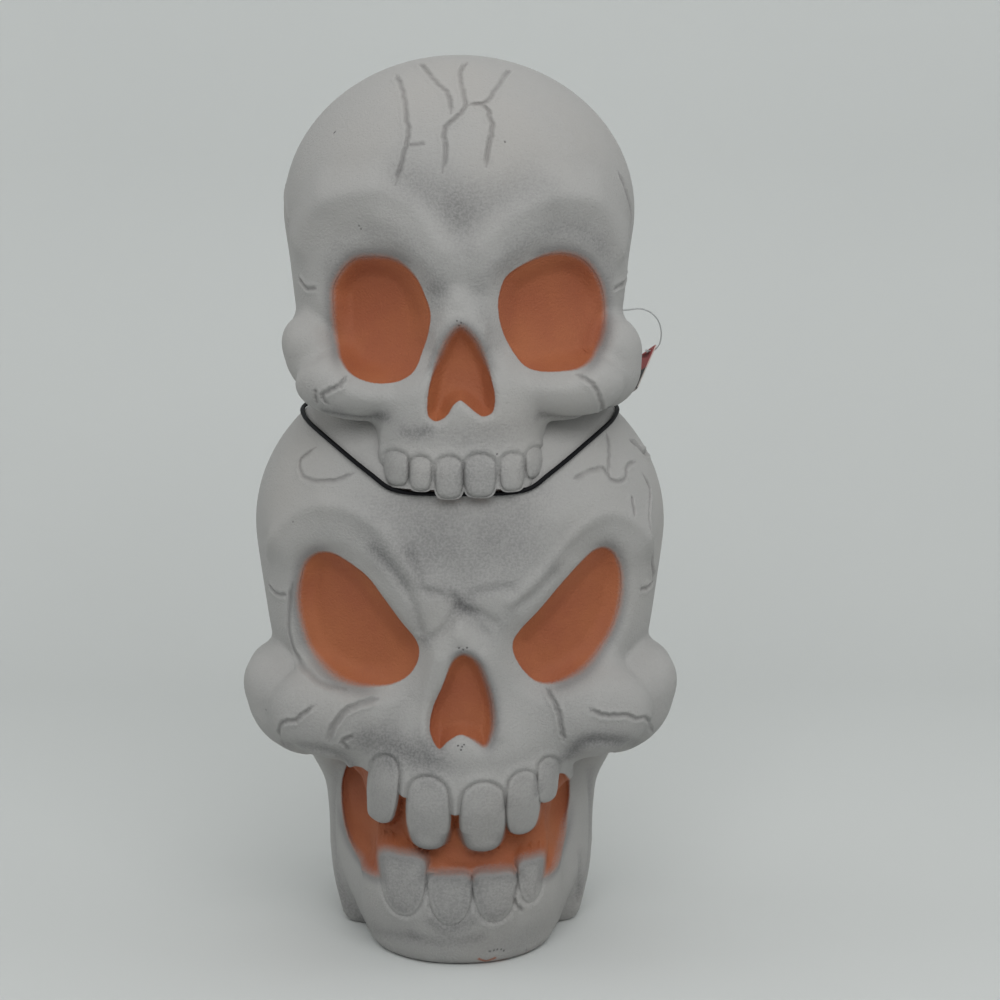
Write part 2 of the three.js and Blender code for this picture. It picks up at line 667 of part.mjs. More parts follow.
// Lead: out of the strain relief, up into the cleft between the skulls, once round it, and down the back to the
// switch
const leadStart = reliefTipY + seatGap;
const switchZ = seatGap + switchParting;
const leadPoints = [
  [0, leadStart, lampZ], [0, 147, 300], [0, 155, 302.5], [0, 160, 309], [0, 160.5, 319], [1, 155, 334],
  [3, 143.5, 349], [7, 128, 362], [13, 111, 372], [21, 96, 379], [32, 85.5, 381.5], [45, 77.5, 382],
  [58, 70, 381.7], [72.5, 61, 380], [86, 50, 377.7], [98.5, 36, 374.2], [106.8, 19, 371.2], [109.8, 0, 368.7],
  [107.8, -19, 366.2], [102.5, -37.3, 362.2], [94, -54.3, 357.2], [83, -69.8, 350.2], [70, -83.5, 341.2],
  [58, -92.7, 333], [46, -99.6, 325], [33, -103.2, 322.4], [17, -105.9, 322], [0, -106.8, 321.9], [-17, -105.9, 322],
  [-33, -103.2, 322.4], [-46, -99.6, 325], [-58, -92.7, 333], [-70, -83.5, 341.2], [-83, -69.8, 350.2],
  [-94, -54.3, 357.2], [-102.5, -37.3, 362.2], [-107.8, -19, 366.2], [-109.8, 0, 368.7], [-106.8, 19, 371.2],
  [-98.5, 36.5, 374], [-87, 52.5, 376], [-76, 68, 374], [-67.5, 82, 367.5], [-62.5, 93, 358], [-60, 102, 346],
  [-60, 109, 330.5], [-60, 114.5, 312], [-60, 117.2, 293], [-60, 118, 272], [-60, 118.2, 230], [-60, 118.4, 180],
  [-60, 118.6, 130], [-60, 118.8, 80], [-60, 119.2, 45], [-59, 120.2, 24], [-53, 122.8, 8.5], [-42, 126.5, 2.3],
  [-33, 129.2, 2.6], [-26, 130.3, 4.6],
];
const coilOut = coilRadius + coilPitch * coilTurnsPerLayer / 2;
const switchAt = [coilAt.x - coilTail - switchLength / 2, coilAt.y - coilOut];
const switchStartX = switchAt[0] - switchLength / 2 - seatGap;
leadPoints.push([switchStartX - leadDiameter, switchAt[1], switchZ], [switchStartX, switchAt[1], switchZ]);
const leadCurve = curveThrough(leadPoints);

// Part of the lead between two shares of its length, short of its end by half the gap between two stretches.
function leadStretch(fromShare, toShare, steps) {
  const half = seatGap / 2 / leadCurve.getLength();
  const from = fromShare > 0 ? fromShare + half : fromShare;
  const to = toShare < 1 ? toShare - half : toShare;
  const fine = 3 * steps;
  const points = Array.from({ length: fine + 1 }, (_, i) => leadCurve.getPointAt(from + (to - from) * i / fine));
  return tubeAlong(curveThrough(points.map((point) => point.toArray())), leadDiameter, leadSides, steps);
}

addPiece("lead_rise", leadStretch(0, riseShare, riseSteps), materials.vinyl);
addPiece("lead_wrap", leadStretch(riseShare, wrapShare, wrapSteps), materials.vinyl);
addPiece("lead_drop", leadStretch(wrapShare, 1, dropSteps), materials.vinyl);

// Coil: it spirals in on the floor and out again on top of itself, and climbs in the half turn between
const coilTurns = 2 * coilTurnsPerLayer;
const plugZ = seatGap + plugHeight / 2;
const floorZ = seatGap + leadDiameter / 2;

function coilPoint(turn) {
  const radius = coilOut - coilPitch * Math.min(turn, coilTurns - turn);
  const angle = 2 * Math.PI * turn - Math.PI / 2;
  const [from, to] = [coilTurnsPerLayer - coilClimbShare, coilTurnsPerLayer + coilClimbShare];
  const climb = THREE.MathUtils.smoothstep(turn, from, to);
  return [coilAt.x + radius * Math.cos(angle), coilAt.y + radius * Math.sin(angle), floorZ + climb * coilPitch];
}

// Straight end of the coil, from a piece on the lead at one height to the coil at another.
function coilEnd(fromX, toX, y, fromZ, toZ) {
  return Array.from({ length: coilEndSteps + 1 }, (_, i) => {
    const x = THREE.MathUtils.lerp(fromX, toX, i / (coilEndSteps + 1));
    const reached = THREE.MathUtils.smoothstep(Math.abs(x - fromX), leadDiameter, Math.abs(toX - fromX));
    return [x, y, THREE.MathUtils.lerp(fromZ, toZ, reached)];
  });
}

const coilStartX = coilAt.x - coilTail + seatGap;
const plugEndX = coilAt.x - coilTail;
const coilSteps = coilTurns * coilStepsPerTurn;
const coilRings = Array.from({ length: coilSteps + 1 }, (_, i) => coilPoint(i / coilStepsPerTurn));
const coilPoints = [
  ...coilEnd(coilStartX, coilAt.x, coilAt.y - coilOut, switchZ, floorZ),
  ...coilRings,
  ...coilEnd(plugEndX + seatGap, coilAt.x, coilAt.y + coilOut, plugZ, floorZ + coilPitch).reverse(),
];
addPiece("lead_coil", tubeAlong(curveThrough(coilPoints), leadDiameter, coilSides, coilPoints.length - 1),
  materials.vinyl);

// Least gap between turns, over pairs of points that lie further apart along the lead than across it
let leastGap = Infinity;
coilRings.forEach((a, i) => coilRings.forEach((b, j) => {
  if (j - i < coilStepsPerTurn / 2) return;
  leastGap = Math.min(leastGap, Math.hypot(...a.map((value, axis) => value - b[axis])) - leadDiameter);
}));
console.log(`coil: least gap to itself ${leastGap.toFixed(2)} mm`);

// Inline switch: two halves screwed together from below, with a rocker in the upper one
const inlineSwitch = new THREE.Group();
inlineSwitch.position.set(...switchAt, seatGap);
skulls.add(inlineSwitch);
const pivotZ = switchHeight - rockerPivotDepth;
const wellHalfLength = Math.hypot(rockerLength / 2, rockerCrown) + seatGap;
const wellHalfWidth = rockerWidth / 2 + seatGap;

// Half of the switch housing: a rounded block with its outer edge bevelled.
function housingHalf(fromZ, toZ, bevelBelow) {
  const outline = roundedOutline(switchLength - 2 * switchBevel, switchWidth - 2 * switchBevel,
    switchCorner - switchBevel);
  const block = new THREE.ExtrudeGeometry(outline, {
    depth: 2 * switchHeight, bevelSize: switchBevel, bevelThickness: switchBevel, bevelSegments: 1,
    curveSegments: 3,
  });
  block.translate(0, 0, bevelBelow ? fromZ + switchBevel : toZ - switchBevel - 2 * switchHeight);
  const slab = boxBetween([-switchLength, -switchLength, fromZ], [switchLength, switchLength, toZ]);
  return solidOf(block).intersect(slab);
}

const screwXs = { switch_screw_left: -screwSpacing / 2, switch_screw_right: screwSpacing / 2 };
let switchBase = housingHalf(0, switchParting - seatGap / 2, true);
let switchCover = housingHalf(switchParting + seatGap / 2, switchHeight, false);
for (const [name, x] of Object.entries(screwXs)) {
  const headTop = screwHeadHeight + seatGap;
  switchBase = switchBase
    .subtract(cylinderAlongZ(screwHeadRadius + seatGap, x, 0, -overrun, headTop + seatGap, 16))
    .subtract(cylinderAlongZ(screwRadius + seatGap, x, 0, 0, switchHeight, 16));
  const shaft = cylinderAlongZ(screwRadius + seatGap, x, 0, 0, headTop + screwLength + seatGap, 16);
  switchCover = switchCover.subtract(shaft);
  const screw = cylinderAlongZ(screwHeadRadius, x, 0, seatGap, headTop, 16)
    .add(cylinderAlongZ(screwRadius, x, 0, seatGap + screwHeadHeight / 2, headTop + screwLength, 16));
  addPiece(name, geometryOf(screw), materials.steel, inlineSwitch);
}
switchCover = switchCover
  .subtract(boxBetween([-wellHalfLength, -wellHalfWidth, 0],
    [wellHalfLength, wellHalfWidth, switchHeight + overrun]))
  .subtract(cylinderAlongY(rockerPinRadius + seatGap, 0, pivotZ, -rockerPinLength / 2 - seatGap,
    rockerPinLength / 2 + seatGap, 16));
addPiece("switch_base", geometryOf(switchBase), materials.black, inlineSwitch);
addPiece("switch_cover", geometryOf(switchCover), materials.black, inlineSwitch);

const rockerHalf = rockerLength / 2;
const rockerEnd = rockerCrown + rockerHalf * Math.tan(rockerTilt);
const rockerShape = new THREE.Shape([
  [-rockerHalf / 2, -rockerDepth], [rockerHalf / 2, -rockerDepth], [rockerHalf, 0], [rockerHalf, rockerEnd],
  [0, rockerCrown], [-rockerHalf, rockerEnd], [-rockerHalf, 0],
].map(([x, y]) => new THREE.Vector2(x, y)));
const rockerBlock = new THREE.ExtrudeGeometry(rockerShape, { depth: rockerWidth, bevelEnabled: false });
rockerBlock.rotateX(Math.PI / 2).translate(0, rockerWidth / 2, 0);
const rockerPin = cylinderAlongY(rockerPinRadius, 0, 0, -rockerPinLength / 2, rockerPinLength / 2, 16);
const rockerSolid = geometryOf(solidOf(rockerBlock).add(rockerPin));
const rocker = addPiece("switch_rocker", rockerSolid, materials.black, inlineSwitch);
rocker.position.z = pivotZ;
rocker.rotation.y = rockerTilt;

// Plug: a moulded body with its neck to the coil and two flat blades, one wider than the other
const plug = new THREE.Group();
const plugFrontX = plugEndX - plugNeckLength - plugLength;
plug.position.set(plugFrontX, coilAt.y + coilOut, plugZ);
skulls.add(plug);
const plugOutline = roundedOutline(plugWidth - 2 * plugBevel, plugHeight - 2 * plugBevel, plugCorner - plugBevel);
const plugBlock = new THREE.ExtrudeGeometry(plugOutline, {
  depth: plugLength - 2 * plugBevel, bevelSize: plugBevel, bevelThickness: plugBevel, bevelSegments: 1,
  curveSegments: 3,
});
plugBlock.translate(0, 0, plugBevel).rotateZ(Math.PI / 2).rotateY(Math.PI / 2);
const plugNeck = turned([[0, plugLength / 2], [plugNeckRadius, plugLength / 2], [plugNeckRadius, plugLength],
  [leadDiameter, plugLength + plugNeckLength], [0, plugLength + plugNeckLength]], 16);
let plugSolid = solidOf(plugBlock).add(solidOf(plugNeck.rotateZ(-Math.PI / 2)));
for (const [index, [width, bladeWidth]] of Object.entries(bladeWidths).entries()) {
  const y = (index - 0.5) * bladeSpacing;
  const half = [bladeThickness / 2, bladeWidth / 2];
  plugSolid = plugSolid.subtract(boxBetween(
    [-overrun, y - half[0] - seatGap, -half[1] - seatGap],
    [bladeRoot + seatGap, y + half[0] + seatGap, half[1] + seatGap],
  ));
  const blade = new THREE.BoxGeometry(bladeLength + bladeRoot, bladeThickness, bladeWidth);
  addPiece(`plug_blade_${width}`, blade, materials.brass, plug).position.set((bladeRoot - bladeLength) / 2, y, 0);
}
addPiece("plug_body", geometryOf(plugSolid), materials.black, plug);

// Hang tag: a plain card turned away from the viewer, its long side leaning in under the cheek. It hangs clear
// of the cheek beside it and of the crown below it.
const [, tagHoleY, tagHoleZ] = inSkull(upperSkull, [0, 0.175, 0.3]);
const cheekSide = reachOf(upperForm, [0, -tagHoleY, tagHoleZ], [1, 0, 0]);
const crownSide = reachOf(lowerForm, [0, 0, tagHoleZ - tagLength], [1, 0, 0]);
const tagHoleX = Math.max(cheekSide + tagClearance.cheek, crownSide + tagClearance.crown);
const tagDown = new THREE.Vector3(-0.38, -0.6, -0.7).normalize();
const tagAcross = new THREE.Vector3(-0.45, 0.785, -0.42);
tagAcross.addScaledVector(tagDown, -tagAcross.dot(tagDown)).normalize();
const tag = new THREE.Group();
tag.setRotationFromMatrix(new THREE.Matrix4().makeBasis(
  tagAcross, tagDown.clone().negate(), new THREE.Vector3().crossVectors(tagAcross, tagDown.clone().negate()),
));
tag.position.set(tagHoleX, tagHoleY, tagHoleZ);
skulls.add(tag);
const tagOutline = roundedOutline(tagWidth, tagLength, tagCorner);
const tagHole = new THREE.Path().absarc(
  tagHoleInset.across - tagWidth / 2, tagLength / 2 - tagHoleInset.down, tagHoleRadius, 0, 2 * Math.PI, true,
);
tagOutline.holes.push(tagHole);
const tagPlate = new THREE.ExtrudeGeometry(tagOutline, {
  depth: tagThickness, bevelEnabled: false, curveSegments: 4,
});
tagPlate.translate(tagWidth / 2 - tagHoleInset.across, tagHoleInset.down - tagLength / 2, -tagThickness / 2);
addPiece("tag_card", tagPlate, materials.card, tag);

// Nylon fastener: a bar behind the foam, a thread out to the card, and a paddle on the card's near side
const threadShares = [
  [0, 0, 0], [0.448, 0, 0], [0.716, 0.125, -0.027], [0.955, 0.344, 0.068], [1.128, 0.594, 0.271], [1.203, 0.813, 0.542],
  [1.182, 0.963, 0.814], [1.099, 1, 0.953], [1.03, 1, 0.993], [0.913, 1, 1],
];
const threadPoints = threadShares.map(([x, y, z]) => [
  THREE.MathUtils.lerp(fastenerX, tagHoleX, x),
  THREE.MathUtils.lerp(fastenerY, tagHoleY, y),
  THREE.MathUtils.lerp(fastenerZ, tagHoleZ, z),
]);
const barAt = threadPoints[0];
const paddleAt = threadPoints.at(-1);
const thread = solidOf(tubeAlong(curveThrough(threadPoints), fastenerDiameter, fastenerSides, 2 * fastenerSteps));
const bar = cylinderAlongZ(fastenerBarRadius, barAt[0], barAt[1], barAt[2] - fastenerBarLength / 2,
  barAt[2] + fastenerBarLength / 2, 10);
const paddle = cylinderAlongY(paddleRadius, paddleAt[0], paddleAt[2], paddleAt[1] - paddleLength / 2,
  paddleAt[1] + paddleLength / 2, 10);
addPiece("tag_fastener", geometryOf(thread.add(bar).add(paddle)), materials.nylon);

export default skulls;
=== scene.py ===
"""Looks of the light-up stack of two moulded foam skulls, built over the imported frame."""

import logging
import math
from collections.abc import Callable, Sequence
from dataclasses import dataclass, replace
from enum import Enum
from functools import cached_property

import bpy
import numpy as np
from mathutils import Matrix, Vector
from mathutils.kdtree import KDTree


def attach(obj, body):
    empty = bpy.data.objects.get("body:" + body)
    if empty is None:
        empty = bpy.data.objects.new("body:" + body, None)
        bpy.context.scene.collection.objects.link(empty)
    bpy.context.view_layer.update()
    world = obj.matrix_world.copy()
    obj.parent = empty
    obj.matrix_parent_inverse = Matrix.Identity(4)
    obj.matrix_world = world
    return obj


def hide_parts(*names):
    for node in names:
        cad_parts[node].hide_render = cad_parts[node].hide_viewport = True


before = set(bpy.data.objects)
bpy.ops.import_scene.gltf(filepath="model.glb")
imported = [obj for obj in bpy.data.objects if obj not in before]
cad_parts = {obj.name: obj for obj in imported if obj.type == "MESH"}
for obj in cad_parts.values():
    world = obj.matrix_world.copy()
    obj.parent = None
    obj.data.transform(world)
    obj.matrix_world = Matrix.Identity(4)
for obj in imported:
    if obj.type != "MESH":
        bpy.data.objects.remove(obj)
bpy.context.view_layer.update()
MM = 0.001
FAR = 1.0
TINY = 1e-9
MOST_PAIRS = 4_000_000
LAMP_HEIGHT = 300.0
# How far off its line each kind of carving is worked out, and where the carved half of a head starts
OUTLINE_REACH = 0.04
TOOTH_REACH = 0.03
CRACK_REACH = 0.012
FRONT_EDGE = -0.005

log = logging.getLogger("skulls")

Array = np.ndarray
Gap = Callable[[Array], Array]
Point2 = tuple[float, float]
Point3 = tuple[float, float, float]
Colour = tuple[float, float, float]
Piece = bpy.types.Object
Material = bpy.types.Material


# Numbers and curves

def smooth(low: float, high: float, values: Array) -> Array:
    """Eased step from 0 at the low value to 1 at the high one."""
    share = np.clip((values - low) / (high - low), 0.0, 1.0)
    return share * share * (3.0 - 2.0 * share)


def unit(rows: Array) -> Array:
    """Rows scaled to a length of 1."""
    return rows / np.maximum(np.linalg.norm(rows, axis=1, keepdims=True), TINY)


def bell(values: Array, width: float) -> Array:
    """Bell curve of height 1 at zero, of a given width."""
    return np.exp(-((values / width) ** 2))


def through(points: Sequence[Sequence[float]], steps: int, closed: bool = False) -> Array:
    """Smooth centripetal curve through points.

    Args:
        points: the points, in two or three numbers each.
        steps: how many steps each span is drawn in.
        closed: whether the curve joins its own start.

    Returns:
        The points of the curve, one row each.
    """
    given = np.asarray(points, dtype=float)
    if closed:
        padded = np.vstack([given[-1], given, given[0], given[1]])
    else:
        padded = np.vstack([2 * given[0] - given[1], given, 2 * given[-1] - given[-2]])
    shares = np.linspace(0.0, 1.0, steps, endpoint=False)[:, None]
    spans = []
    for a, b, c, d in zip(padded, padded[1:], padded[2:], padded[3:]):
        t1 = max(np.linalg.norm(b - a), TINY) ** 0.5
        t2 = t1 + max(np.linalg.norm(c - b), TINY) ** 0.5
        t3 = t2 + max(np.linalg.norm(d - c), TINY) ** 0.5
        t = t1 + (t2 - t1) * shares
        first = (t1 - t) / t1 * a + t / t1 * b
        second = (t2 - t) / (t2 - t1) * b + (t - t1) / (t2 - t1) * c
        third = (t3 - t) / (t3 - t2) * c + (t - t2) / (t3 - t2) * d
        left = (t2 - t) / t2 * first + t / t2 * second
        right = (t3 - t) / (t3 - t1) * second + (t - t1) / (t3 - t1) * third
        spans.append((t2 - t) / (t2 - t1) * left + (t - t1) / (t2 - t1) * right)
    if not closed:
        spans.append(given[-1:])
    return np.vstack(spans)


def near_box(spots: Array, line: Array, margin: float) -> Array:
    """Which spots lie in the box round a line, grown by a margin."""
    low, high = line.min(axis=0) - margin, line.max(axis=0) + margin
    return np.all((spots >= low) & (spots <= high), axis=1)


def line_distance(spots: Array, line: Array, margin: float) -> tuple[Array, Array]:
    """Distance of each spot from a line, and how far along the line it lies.

    Args:
        spots: the spots, in two or three numbers each.
        line: the corners of the line.
        margin: how far off the line the distance is worked out; further out it is FAR.

    Returns:
        The distances, and the shares of the line's length.
    """
    distance = np.full(len(spots), FAR)
    along = np.zeros(len(spots))
    chosen = np.nonzero(near_box(spots, line, margin))[0]
    a, b = line[:-1], line[1:]
    spans = b - a
    lengths = np.linalg.norm(spans, axis=1)
    starts = np.concatenate([[0.0], np.cumsum(lengths)[:-1]])
    for part in np.array_split(chosen, len(chosen) * len(a) // MOST_PAIRS + 1):
        if not len(part):
            continue
        offset = spots[part, None, :] - a[None]
        share = np.clip((offset * spans).sum(axis=2) / np.maximum(lengths**2, TINY**2), 0.0, 1.0)
        gaps = np.linalg.norm(offset - share[..., None] * spans, axis=2)
        best = gaps.argmin(axis=1)
        rows = np.arange(len(part))
        distance[part] = gaps[rows, best]
        along[part] = (starts[best] + share[rows, best] * lengths[best]) / lengths.sum()
    return distance, along


def outline_distance(spots: Array, outline: Array, margin: float) -> Array:
    """Distance of each spot from a closed outline, negative inside it and FAR well outside it.

    Args:
        spots: the spots, in two numbers each.
        outline: the corners of the outline.
        margin: how far off the outline the distance is worked out.

    Returns:
        The distances.
    """
    closed = np.vstack([outline, outline[:1]])
    distance, _ = line_distance(spots, closed, margin)
    chosen = np.nonzero(near_box(spots, outline, 0.0))[0]
    x, z = spots[chosen, 0][:, None], spots[chosen, 1][:, None]
    (x1, z1), (x2, z2) = closed[:-1].T, closed[1:].T
    rise = np.where(z2 == z1, 1e-12, z2 - z1)
    crossing = ((z1 > z) != (z2 > z)) & (x < (x2 - x1) * (z - z1) / rise + x1)
    inside = chosen[crossing.sum(axis=1) % 2 == 1]
    distance[inside] *= -1.0
    return distance


def quadratic(points: Array) -> Array:
    """The terms of a curved plane over x and z, one row for each point."""
    x, _, z = points.T
    return np.stack([np.ones(len(x)), x, z, x * x, z * z, x * z], axis=1)


def geodesic_ball(frequency: int, lean: Point3, draw: float) -> tuple[Array, Array]:
    """Ball of even triangles, drawn closer together towards one side without squashing them.

    Args:
        frequency: how many times each edge of the first twenty triangles is split.
        lean: the direction that they are drawn towards.
        draw: how strongly, from 0 to 1.

    Returns:
        The corners' directions and the triangles.
    """
    golden = (1 + 5**0.5) / 2
    corners = np.array([
        (-1, golden, 0), (1, golden, 0), (-1, -golden, 0), (1, -golden, 0), (0, -1, golden), (0, 1, golden),
        (0, -1, -golden), (0, 1, -golden), (golden, 0, -1), (golden, 0, 1), (-golden, 0, -1), (-golden, 0, 1),
    ])
    sides = [
        (0, 11, 5), (0, 5, 1), (0, 1, 7), (0, 7, 10), (0, 10, 11), (1, 5, 9), (5, 11, 4), (11, 10, 2),
        (10, 7, 6), (7, 1, 8), (3, 9, 4), (3, 4, 2), (3, 2, 6), (3, 6, 8), (3, 8, 9), (4, 9, 5), (2, 4, 11),
        (6, 2, 10), (8, 6, 7), (9, 8, 1),
    ]
    rows, columns = np.array([(i, j) for i in range(frequency + 1) for j in range(frequency + 1 - i)]).T
    number = np.full((frequency + 2, frequency + 2), -1)
    number[rows, columns] = np.arange(len(rows))
    upright = [
        (number[i, j], number[i + 1, j], number[i, j + 1])
        for i in range(frequency) for j in range(frequency - i)
    ]
    hanging = [
        (number[i + 1, j], number[i + 1, j + 1], number[i, j + 1])
        for i in range(frequency - 1) for j in range(frequency - 1 - i)
    ]
    pattern = np.array(upright + hanging)
    points, triangles = [], []
    for side, (a, b, c) in enumerate(sides):
        weights = np.stack([frequency - rows - columns, rows, columns], axis=1) / frequency
        points.append(weights @ corners[[a, b, c]])
        triangles.append(pattern + side * len(rows))
    found = unit(np.vstack(points))
    _, first, merged = np.unique(np.round(found, 6), axis=0, return_index=True, return_inverse=True)
    directions = found[first]
    faces = merged.reshape(-1)[np.vstack(triangles)]
    axis = np.asarray(lean) / np.linalg.norm(lean)
    stretch = 1 / (1 - draw**2) ** 0.5
    facing = directions @ axis
    return unit(directions + ((stretch - 1) * facing + stretch * draw)[:, None] * axis), faces


def refined(directions: Array, triangles: Array, marked: Array) -> tuple[Array, Array]:
    """Splits the marked triangles of a ball in four, and their neighbours to match.

    Args:
        directions: the corners' directions.
        triangles: the triangles, as the numbers of their corners.
        marked: which triangles are split.

    Returns:
        The new directions and triangles.
    """
    count = len(directions)
    edges = np.sort(triangles[:, [[0, 1], [1, 2], [2, 0]]], axis=2)
    unique, inverse = np.unique(edges[..., 0] * count + edges[..., 1], return_inverse=True)
    inverse = inverse.reshape(-1, 3)
    split = np.zeros(len(unique), dtype=bool)
    split[inverse[marked].ravel()] = True
    middles = unit(directions[unique[split] // count] + directions[unique[split] % count])
    number = np.where(split, np.cumsum(split) - 1 + count, -1)
    mids = number[inverse]
    found = (mids >= 0).sum(axis=1)
    parts = [triangles[found == 0]]
    t, m = triangles[found == 3].T, mids[found == 3].T
    parts += [np.stack(c, axis=1) for c in (
        (t[0], m[0], m[2]), (m[0], t[1], m[1]), (m[2], m[1], t[2]), (m[0], m[1], m[2]),
    )]
    for k in range(3):
        one = (found == 1) & (mids[:, k] >= 0)
        t, m = np.roll(triangles[one], -k, axis=1).T, mids[one, k]
        parts += [np.stack((t[0], m, t[2]), axis=1), np.stack((m, t[1], t[2]), axis=1)]
        two = (found == 2) & (mids[:, k] < 0)
        t = np.roll(triangles[two], -(k + 1), axis=1).T
        m, n = mids[two, (k + 1) % 3], mids[two, (k + 2) % 3]
        parts += [np.stack(c, axis=1) for c in ((m, t[1], n), (t[0], m, n), (t[0], n, t[2]))]
    return np.vstack([directions, middles]), np.vstack(parts)


# Smooth body forms

def ellipsoid(points: Array, centre: Array, radii: Array) -> Array:
    """Rough distance from an ellipsoid's surface, negative inside.

    Args:
        points: the points.
        centre: its middle.
        radii: its three radii.

    Returns:
        The distances.
    """
    a = (points - centre) / radii
    reach = np.linalg.norm(a, axis=1)
    return reach * (reach - 1) / np.maximum(np.linalg.norm(a / radii, axis=1), TINY)


def rounded_block(points: Array, centre: Array, half: Array, corner: float) -> Array:
    """Distance from a block with round corners, negative inside."""
    q = np.abs(points - centre) - half + corner
    return np.linalg.norm(np.maximum(q, 0), axis=1) + np.minimum(q.max(axis=1), 0) - corner


def round_ridge(points: Array, start: Array, end: Array, radius: float) -> Array:
    """Distance from a straight ridge of round section, negative inside.

    Args:
        points: the points.
        start: one end of its middle line.
        end: the other end.
        radius: its radius.

    Returns:
        The distances.
    """
    along = end - start
    share = np.clip((points - start) @ along / (along @ along), 0, 1)
    return np.linalg.norm(points - start - share[:, None] * along, axis=1) - radius


def melt(a: Array, b: Array, softness: float) -> Array:
    """Smooth union of two distances."""
    mix = np.maximum(softness - np.abs(a - b), 0) / softness
    return np.minimum(a, b) - mix * mix * softness / 4


@dataclass(frozen=True)
class Block:
    """A block with round corners: its sizes as shares of a skull, and its lean as it rises."""

    middle: Point3
    half: Point3
    corner: float
    lean: float = 0.0


@dataclass(frozen=True)
class SkullForm:
    """The masses that melt into one skull, in shares of its half width, half depth and height."""

    half_width: float
    half_depth: float
    height: float
    foot: float
    centre_share: float
    masses: tuple[tuple[Point3, Point3], ...]
    cheekbone: tuple[Point3, Point3]
    cheek_lobes: tuple[Block, ...]
    brow: tuple[Point3, ...]
    brow_share: float
    jaw_masses: tuple[tuple[Point3, Point3], ...]
    jaw_blocks: tuple[Block, ...]
    jaw_corners: tuple[tuple[Point3, Point3], ...]
    softness: float = 0.016
    lobe_softness: float = 0.008
    jaw_softness: float = 0.006

    @property
    def centre(self) -> Array:
        """The point that the skull's surface is cast from."""
        return np.array([0.0, 0.0, self.foot + self.centre_share * self.height])

    def size(self, shares: Point3) -> Array:
        """Turns shares into a size in metres."""
        return np.array(shares) * (self.half_width, self.half_depth, self.height)

    def place(self, shares: Point3, side: int = 1) -> Array:
        """Turns shares into a place in metres, on one side of the skull."""
        return self.size(shares) * (side, 1, 1) + (0, 0, self.foot)

    def lump(self, points: Array, shares: tuple[Point3, Point3], side: int = 1) -> Array:
        """Distance from an ellipsoid given by its middle and its radii."""
        return ellipsoid(points, self.place(shares[0], side), self.size(shares[1]))

    def slab(self, points: Array, block: Block) -> Array:
        """Distance from a block, negative inside.

        Args:
            points: the points.
            block: the block.

        Returns:
            The distances.
        """
        middle = self.place(block.middle)
        upright = points - block.lean * (points[:, 2:] - middle[2]) * np.array([1.0, 0.0, 0.0])
        return rounded_block(upright, middle, self.size(block.half), block.corner * self.half_width)

    def melted(self, found: list[Array], softness: float) -> Array:
        """Melts distances into one.

        Args:
            found: the distances from each lump.
            softness: how wide the seams are melted.

        Returns:
            The distances from all of them.
        """
        total = found[0]
        for other in found[1:]:
            total = melt(total, other, softness)
        return total

    def distance(self, points: Array) -> Array:
        """Distance of points from the skull's smooth surface, negative inside.

        Args:
            points: the points, in metres.

        Returns:
            The distances.
        """
        head = [self.lump(points, mass) for mass in self.masses]
        jaw = [self.lump(points, mass) for mass in self.jaw_masses]
        for side in (1, -1):
            head.append(self.lump(points, self.cheekbone, side))
            brow = [self.place(at, side) for at in self.brow]
            thick = self.brow_share * self.half_width
            head.append(np.minimum.reduce([round_ridge(points, a, b, thick) for a, b in zip(brow, brow[1:])]))
            jaw += [self.lump(points, corner, side) for corner in self.jaw_corners]
        jaw += [self.slab(points, block) for block in self.jaw_blocks]
        lobes = [self.slab(points, lobe) for lobe in self.cheek_lobes]
        total = self.melted([self.melted(head, self.softness), *lobes], self.lobe_softness)
        return melt(total, self.melted(jaw, self.softness), self.jaw_softness)


LOWER_FORM = SkullForm(
    half_width=0.150, half_depth=0.125, height=0.409, foot=0.0, centre_share=0.46,
    masses=(
        ((0, 0.064, 0.707), (0.96, 0.936, 0.293)), ((0, -0.04, 0.575), (0.9, 0.85, 0.293)),
        ((0, -0.38, 0.34), (0.52, 0.588, 0.22)), ((0, -0.74, 0.505), (0.15, 0.22, 0.09)),
    ),
    cheekbone=((0.52, -0.58, 0.42), (0.34, 0.27, 0.083)),
    cheek_lobes=(
        Block((-0.775, -0.22, 0.415), (0.205, 0.36, 0.092), 0.22, -0.28),
        Block((0.775, -0.22, 0.415), (0.205, 0.36, 0.092), 0.22, 0.28),
    ),
    brow=((0.15, -0.762, 0.622), (0.35, -0.69, 0.737), (0.553, -0.561, 0.755), (0.735, -0.385, 0.70)),
    brow_share=0.10,
    jaw_masses=(((0, 0.2, 0.3), (0.62, 0.6, 0.3)),),
    jaw_blocks=(
        Block((0, -0.35, 0.12), (0.46, 0.5, 0.2), 0.36), Block((0, 0.14, 0.14), (0.632, 0.56, 0.21), 0.4),
    ),
    jaw_corners=(((0.6, 0.12, 0.38), (0.16, 0.36, 0.13)),),
)
